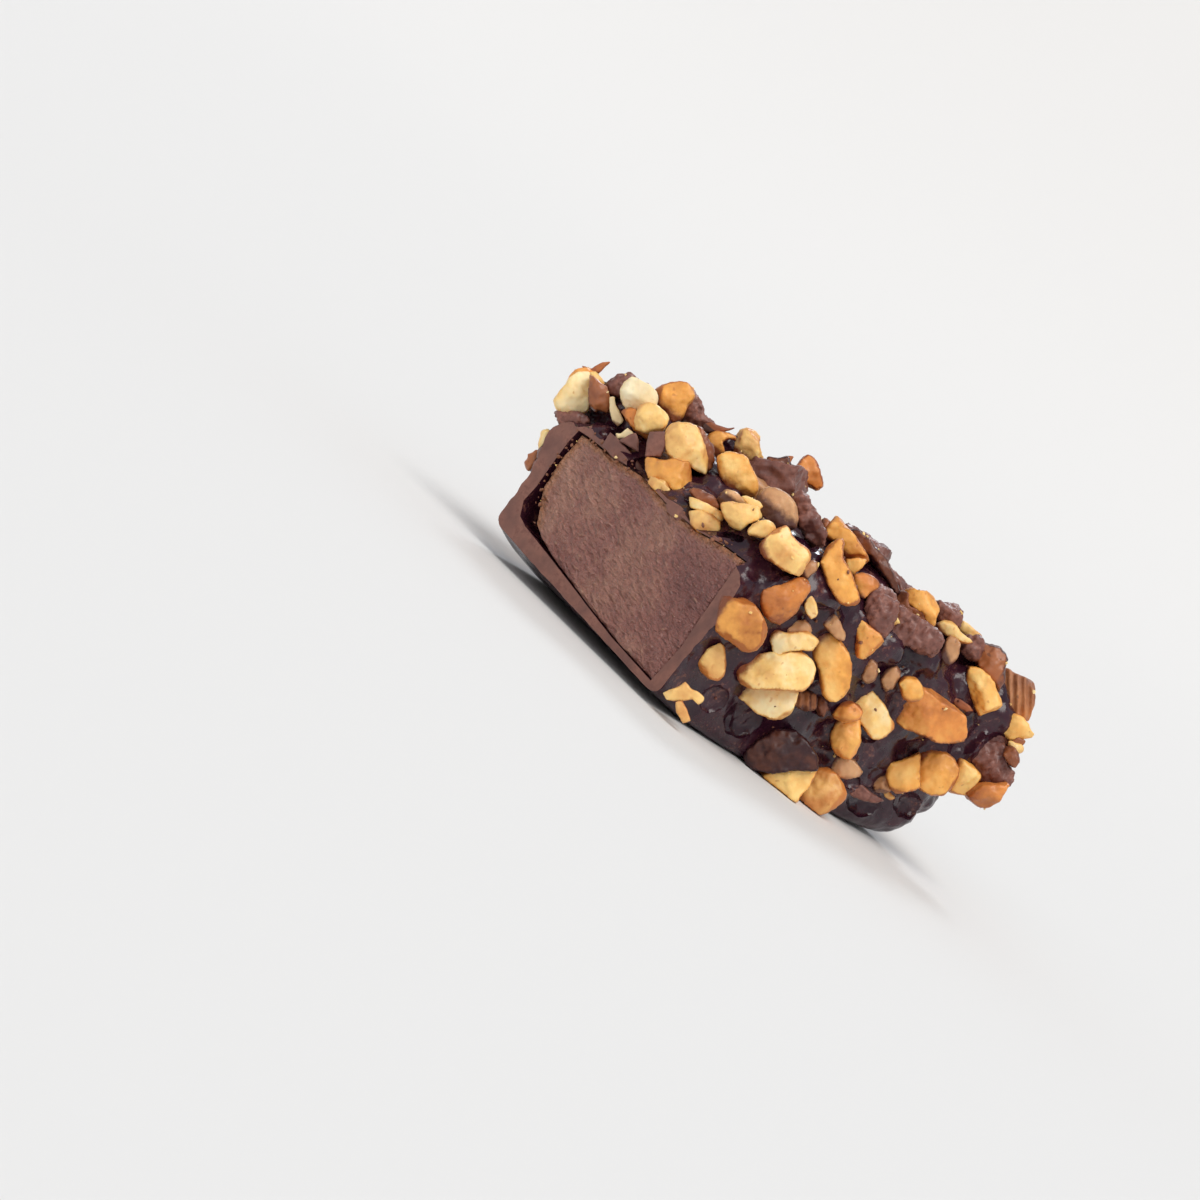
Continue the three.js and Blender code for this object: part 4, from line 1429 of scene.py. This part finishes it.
# Dark chocolate, poured and cooled or broken: glossy smooth pools between rougher, dusty ridges. Shine is the
# roughness of its pools and of its ridges.
def makeDarkChocolate(name, dusty, shine, low, high):
    material = newMaterial(name)
    place = addNode(material, "ShaderNodeTexCoord").outputs["Object"]
    broad, fine = addPatterns(material, place, chocolateLook["patterns"]).values()
    base = addNode(material, "ShaderNodeValToRGB", {"Fac": broad})
    setStops(base, (0.35, low), (0.65, high))
    rubbed = addNode(material, "ShaderNodeMath", {0: broad, 1: fine}, operation="MULTIPLY").outputs["Value"]
    dustFrom, dustTo = (begin - sooner * dusty for begin, sooner in zip(
        chocolateLook["dustBegins"], chocolateLook["dustier"],
    ))
    patches = addNode(material, "ShaderNodeMapRange", {
        "Value": rubbed, "From Min": dustFrom, "From Max": dustTo,
    }, clamp=True).outputs["Result"]
    colour = addNode(material, "ShaderNodeMix", {
        "Factor": patches, "A": base.outputs["Color"], "B": linear(chocolateLook["dust"]),
    }, data_type="RGBA")
    gloss = addNode(material, "ShaderNodeMapRange", {
        "Value": broad, "From Min": 0.3, "From Max": 0.7, "To Min": shine[0], "To Max": shine[1],
    }, clamp=True).outputs["Result"]
    bump = addNode(material, "ShaderNodeBump", {
        "Height": fine, "Strength": 0.35, "Distance": chocolateLook["grainHeight"],
    })
    shader = addNode(material, "ShaderNodeBsdfPrincipled", {
        "Base Color": colour.outputs["Result"], "Roughness": gloss, "IOR": 1.48, "Specular IOR Level": 0.5,
        "Normal": bump.outputs["Normal"],
    })
    addNode(material, "ShaderNodeOutputMaterial", {"Surface": shader.outputs["BSDF"]})
    return material


almondLook = {
    # millimetres, detail, roughness
    "patterns": {
        "broad": (2.6, 3.0, 0.5),
        "mottle": (0.7, 4.0, 0.65),
        "grain": (0.22, 3.0, 0.6),
        "specks": (0.55, 1.0, 0.5),
    },
    "darkness": {"broad": 0.9, "toast": 0.5, "shade": 0.22, "mottle": 0.25},  # what darkens it, and how much
    "grainHeight": 0.00005,
}


# Chopped almond: dry, faintly translucent kernel or its skin, browner where it was roasted, smeared with
# chocolate below
def makeAlmond(name, light, middle, dark, filmColour, rough, seed):
    material = newMaterial(name)
    place = addNode(material, "ShaderNodeTexCoord").outputs["Object"]
    moved = addNode(material, "ShaderNodeMapping", {
        "Vector": place, "Location": (seed, 0.7 * seed, 1.3 * seed),
    }).outputs["Vector"]
    patterns = addPatterns(material, moved, almondLook["patterns"])
    for mark in marks:
        patterns[mark] = addNode(material, "ShaderNodeAttribute", attribute_name=mark).outputs["Fac"]
    darkness = 0.0
    for pattern, share in almondLook["darkness"].items():
        darkness = addNode(material, "ShaderNodeMath", {
            0: patterns[pattern], 1: share, 2: darkness,
        }, operation="MULTIPLY_ADD").outputs["Value"]
    tone = addNode(material, "ShaderNodeValToRGB", {"Fac": darkness})
    setStops(tone, (0.35, light), (0.62, middle), (0.97, dark))
    speckled = addNode(material, "ShaderNodeMapRange", {
        "Value": patterns["specks"], "From Min": 0.7, "From Max": 0.77, "To Max": 0.5,
    }, clamp=True).outputs["Result"]
    dotted = addNode(material, "ShaderNodeMix", {
        "Factor": speckled, "A": tone.outputs["Color"], "B": linear(dark),
    }, data_type="RGBA")
    creep = addNode(material, "ShaderNodeMath", {
        0: patterns["mottle"], 1: 0.9, 2: patterns["film"],
    }, operation="MULTIPLY_ADD").outputs["Value"]
    smear = addNode(material, "ShaderNodeMapRange", {
        "Value": creep, "From Min": 0.8, "From Max": 1.35,
    }, clamp=True).outputs["Result"]
    colour = addNode(material, "ShaderNodeMix", {
        "Factor": smear, "A": dotted.outputs["Result"], "B": linear(filmColour),
    }, data_type="RGBA")
    bump = addNode(material, "ShaderNodeBump", {
        "Height": patterns["grain"], "Strength": 0.4, "Distance": almondLook["grainHeight"],
    })
    shader = addNode(material, "ShaderNodeBsdfPrincipled", {
        "Base Color": colour.outputs["Result"], "Roughness": rough, "IOR": 1.47,
        "Subsurface Weight": 0.15, "Subsurface Radius": (1.0, 0.55, 0.25), "Subsurface Scale": 0.0006,
        "Normal": bump.outputs["Normal"],
    })
    addNode(material, "ShaderNodeOutputMaterial", {"Surface": shader.outputs["BSDF"]})
    return material


caramelLook = {
    "patterns": {"broad": (7.0, 3.0, 0.5), "fine": (0.3, 3.0, 0.6)},  # millimetres, detail, roughness
    "rippleSizes": (0.0007, 0.0007, 0.00034),  # metres
    "rippleTurn": 0.18,
    "rippleHeight": 0.001,
    "leftPaler": -14.0,  # per metre to the right
    # painted highlight: the colour that the ripples' highest crests are painted in
    "crestHighlight": "C09A80",  # the ripples' crests
    "border": "A5704C",
}


# Soft caramel with milk, cut cold: satin, with fine ripples from the knife and a drier, paler border
# Its ripples' crests are painted lighter, with paler flecks on the highest: painted highlights.
def makeCaramel():
    material = newMaterial("softCaramel")
    place = addNode(material, "ShaderNodeTexCoord").outputs["Object"]
    broad, fine = addPatterns(material, place, caramelLook["patterns"]).values()
    slanted = addNode(material, "ShaderNodeMapping", {
        "Vector": place, "Rotation": (0, caramelLook["rippleTurn"], 0), "Scale": caramelLook["rippleSizes"],
    }, vector_type="TEXTURE").outputs["Vector"]
    ripples = addNode(material, "ShaderNodeTexNoise", {
        "Vector": slanted, "Scale": 1.0, "Detail": 2.0, "Roughness": 0.5,
    }).outputs["Fac"]
    rind = addNode(material, "ShaderNodeAttribute", attribute_name="rind").outputs["Fac"]
    sideways = addNode(material, "ShaderNodeSeparateXYZ", {"Vector": place}).outputs["X"]
    lightness = broad
    # painted highlight: the ripples lighten the colour along their crests; it is also paler towards the left
    for source, share in ((sideways, caramelLook["leftPaler"]), (ripples, 0.3)):
        lightness = addNode(material, "ShaderNodeMath", {
            0: source, 1: share, 2: lightness,
        }, operation="MULTIPLY_ADD").outputs["Value"]
    tone = addNode(material, "ShaderNodeValToRGB", {"Fac": lightness})
    setStops(tone, (0.4, "7C4F49"), (0.65, "916056"), (0.85, "A87A68"))
    # painted highlight: pale flecks on the ripples' highest crests
    specks = addNode(material, "ShaderNodeMapRange", {
        "Value": ripples, "From Min": 0.66, "From Max": 0.76, "To Max": 0.4,
    }, clamp=True).outputs["Result"]
    speckled = addNode(material, "ShaderNodeMix", {
        "Factor": specks, "A": tone.outputs["Color"], "B": linear(caramelLook["crestHighlight"]),
    }, data_type="RGBA")
    ragged = addNode(material, "ShaderNodeMath", {
        0: fine, 1: 0.9, 2: rind,
    }, operation="MULTIPLY_ADD").outputs["Value"]
    border = addNode(material, "ShaderNodeMapRange", {
        "Value": ragged, "From Min": 0.75, "From Max": 1.3, "To Max": 0.75,
    }, clamp=True).outputs["Result"]
    colour = addNode(material, "ShaderNodeMix", {
        "Factor": border, "A": speckled.outputs["Result"], "B": linear(caramelLook["border"]),
    }, data_type="RGBA")
    bump = addNode(material, "ShaderNodeBump", {
        "Height": ripples, "Strength": 1.0, "Distance": caramelLook["rippleHeight"],
    })
    shader = addNode(material, "ShaderNodeBsdfPrincipled", {
        "Base Color": colour.outputs["Result"], "Roughness": 0.33, "IOR": 1.45,
        "Subsurface Weight": 0.1, "Subsurface Radius": (1.0, 0.4, 0.2), "Subsurface Scale": 0.0006,
        "Normal": bump.outputs["Normal"],
    })
    addNode(material, "ShaderNodeOutputMaterial", {"Surface": shader.outputs["BSDF"]})
    return material


darkChocolate = makeDarkChocolate("darkChocolate", 0.15, (0.07, 0.34), "260A1C", "42202A")
cutChocolate = makeDarkChocolate("cutChocolate", 0.6, (0.45, 0.6), "6C453C", "8E5F50")
cragChocolate = makeDarkChocolate("cragChocolate", 1.0, (0.28, 0.55), "643C36", "9C6656")
crumbChocolate = makeDarkChocolate("crumbChocolate", 1.0, (0.4, 0.6), "74462F", "96603E")
# Each finish: its material. The almonds' take their light, middle and dark tone, then the chocolate film's.
looks = {
    "cream": makeAlmond("blanchedAlmond", "FFEAB8", "FCCF80", "C87C3A", "8E4E2C", 0.4, 0.0),
    "gold": makeAlmond("goldenAlmond", "FFD484", "F6B055", "B4682C", "824424", 0.4, 0.01),
    "roasted": makeAlmond("roastedAlmond", "F6B860", "E29046", "985026", "66341E", 0.38, 0.02),
    "filmed": makeAlmond("filmedAlmond", "E0B080", "C08C60", "86583F", "5C382E", 0.36, 0.03),
    "peel": makeAlmond("almondSkin", "A8663E", "7C462E", "361618", "2E161C", 0.34, 0.04),
    "ridged": makeAlmond("ridgedAlmondSkin", "CC8C5C", "A66A44", "5E3426", "3A2320", 0.55, 0.05),
    "pith": makeAlmond("almondPith", "FCEDC8", "F0D8A8", "DDBB88", "A88060", 0.6, 0.06),
    "curl": makeAlmond("skinShaving", "C47840", "9A5632", "6A3826", "4A2A22", 0.5, 0.07),
    "crag": cragChocolate,
    "lump": darkChocolate,
    "shard": cutChocolate,
}
pieceNames = {
    "cream": "creamAlmonds", "gold": "goldAlmonds", "roasted": "roastedAlmonds", "filmed": "filmedAlmonds",
    "peel": "almondPeels", "ridged": "ridgedPeels", "pith": "pithFlakes", "curl": "peelCurls",
    "crag": "chocolateCrags", "shard": "chocolateShards", "lump": "chocolateLumps",
}

chocolate = chocolateCoat()
settle(chocolate, "almond_chocolate", replaces="coating")
filling = caramelBar()
settle(filling, "caramel", makeCaramel(), replaces="caramel")

groups = {finish: [] for finish in pieceNames}
for number, name in enumerate(outlines):
    finish, piece = outlinedPiece(name, nutShape["firstSeed"] + nutShape["seedStep"] * number)
    groups[finish].append(piece)
print("outlined pieces made: %d" % len(outlines))
for row in standouts + scattered:
    if row[-1] not in outlinedSeeds | coatedSeeds:
        finish, piece = scatteredPiece(row)
        groups[finish].append(piece)
print("scattered pieces made")
for finish, pieces in groups.items():
    whole = joined(pieces, pieceNames[finish])
    withFaces(whole)
    settle(whole, "almond_chocolate", looks[finish])

outside = [bpy.data.objects[name] for name in ("chocolateCoat", "caramelBar", *pieceNames.values())]
trees = [BVHTree.FromObject(piece, bpy.context.evaluated_depsgraph_get()) for piece in outside]
print("pieces joined by finish: %d" % len(outside))
crumbDraw = drawsFrom(crumbs["seed"])
for kind, material in (("cream", looks["cream"]), ("chocolate", crumbChocolate)):
    whole = scatterCrumbs(kind + "Crumbs", crumbs[kind], crumbs[kind + "AtSeam"], trees, crumbDraw)
    withFaces(whole, 40)
    settle(whole, "almond_chocolate", material)

# The floor, a wide shallow dish that curves up into the background

setting = {
    "floorColour": "DAD9D8",
    "flatRadius": 0.55,
    "rimRadius": 1.3,
    "rimHeight": 0.45,
    "rimSteps": 12,
    "sky": (0.80, 0.82, 0.85),
    "skyStrength": 0.62,
}


def makeFloor():
    bpy.ops.mesh.primitive_circle_add(
        vertices=96, radius=setting["flatRadius"], fill_type="NOTHING", location=(0, 0, 0),
    )
    floor = named(bpy.context.object, "floor")
    steps = setting["rimSteps"]
    radius = setting["flatRadius"]
    openMesh(floor)
    for step in range(1, steps + 1):
        wanted = mix(setting["flatRadius"], setting["rimRadius"], step / steps)
        bpy.ops.mesh.extrude_region_move(TRANSFORM_OT_translate={
            "value": (0, 0, setting["rimHeight"] * (2 * step - 1) / steps ** 2),
        })
        bpy.ops.transform.resize(value=(wanted / radius, wanted / radius, 1), center_override=(0, 0, 0))
        radius = wanted
    bpy.ops.mesh.select_all(action="DESELECT")
    closeMesh()
    for vertex in floor.data.vertices:
        vertex.select = vertex.co.xy.length < setting["flatRadius"] + 0.001
    bpy.ops.object.mode_set(mode="EDIT")
    bpy.ops.mesh.edge_face_add()
    turnOutwards()
    closeMesh()
    withFaces(floor)
    floor.data.materials.append(makeCard())


# Pale matt card with a fine tooth: soft shadows and no gloss
def makeCard():
    material = newMaterial("paleCard")
    place = addNode(material, "ShaderNodeTexCoord").outputs["Object"]
    tooth = addNode(material, "ShaderNodeTexNoise", {"Vector": place, "Scale": lumpsOf(0.6), "Detail": 4.0})
    bump = addNode(material, "ShaderNodeBump", {
        "Height": tooth.outputs["Fac"], "Strength": 0.15, "Distance": 0.00005,
    })
    shader = addNode(material, "ShaderNodeBsdfPrincipled", {
        "Base Color": linear(setting["floorColour"]), "Roughness": 0.9, "Specular IOR Level": 0.0,
        "Normal": bump.outputs["Normal"],
    })
    addNode(material, "ShaderNodeOutputMaterial", {"Surface": shader.outputs["BSDF"]})
    return material


# Broad lights far away: the way to each in the picture's terms (right, up and towards the camera), how wide
# it looks in degrees, its strength and colour
lights = {
    "keyWindow": ((0.6, 0.5, 0.45), 38, 1.75, (1.0, 0.97, 0.93)),
    "frontFill": ((-0.3, 0.1, 1.0), 70, 1.5, (1.0, 0.98, 0.96)),
    "backWindow": ((0.4, 0.6, -0.6), 16, 0.85, (0.86, 0.93, 1.0)),
}


def makeLights():
    for name, (direction, width, strength, colour) in lights.items():
        lamp = bpy.data.lights.new(name, "SUN")
        lamp.angle = math.radians(width)
        lamp.energy = strength
        lamp.color = colour
        holder = bpy.data.objects.new(name, lamp)
        bpy.context.collection.objects.link(holder)
        way = cameraRight * direction[0] + cameraUp * direction[1] + cameraBack * direction[2]
        holder.location = way
        holder.rotation_mode = "QUATERNION"
        holder.rotation_quaternion = way.to_track_quat("Z", "Y")
    world = bpy.data.worlds.new("softSky")
    bpy.context.scene.world = world
    world.use_nodes = True
    sky = world.node_tree.nodes["Background"]
    sky.inputs["Color"].default_value = (*setting["sky"], 1)
    sky.inputs["Strength"].default_value = setting["skyStrength"]


def makeCamera():
    lens = bpy.data.cameras.new("photoCamera")
    lens.lens = photo["lens"]
    lens.sensor_width = photo["sensor"]
    lens.clip_start = 0.01
    lens.clip_end = 10
    camera = bpy.data.objects.new("photoCamera", lens)
    bpy.context.collection.objects.link(camera)
    camera.location = (cameraPlace - Vector((0, restMiddle, 0))) * 0.001
    camera.rotation_mode = "QUATERNION"
    turned = Matrix((cameraRight, cameraUp, cameraBack)).transposed()
    camera.rotation_quaternion = turned.to_quaternion()
    bpy.context.scene.camera = camera


makeFloor()
makeLights()
makeCamera()
bpy.context.scene.view_settings.view_transform = "Standard"
print("floor, lights and camera placed")
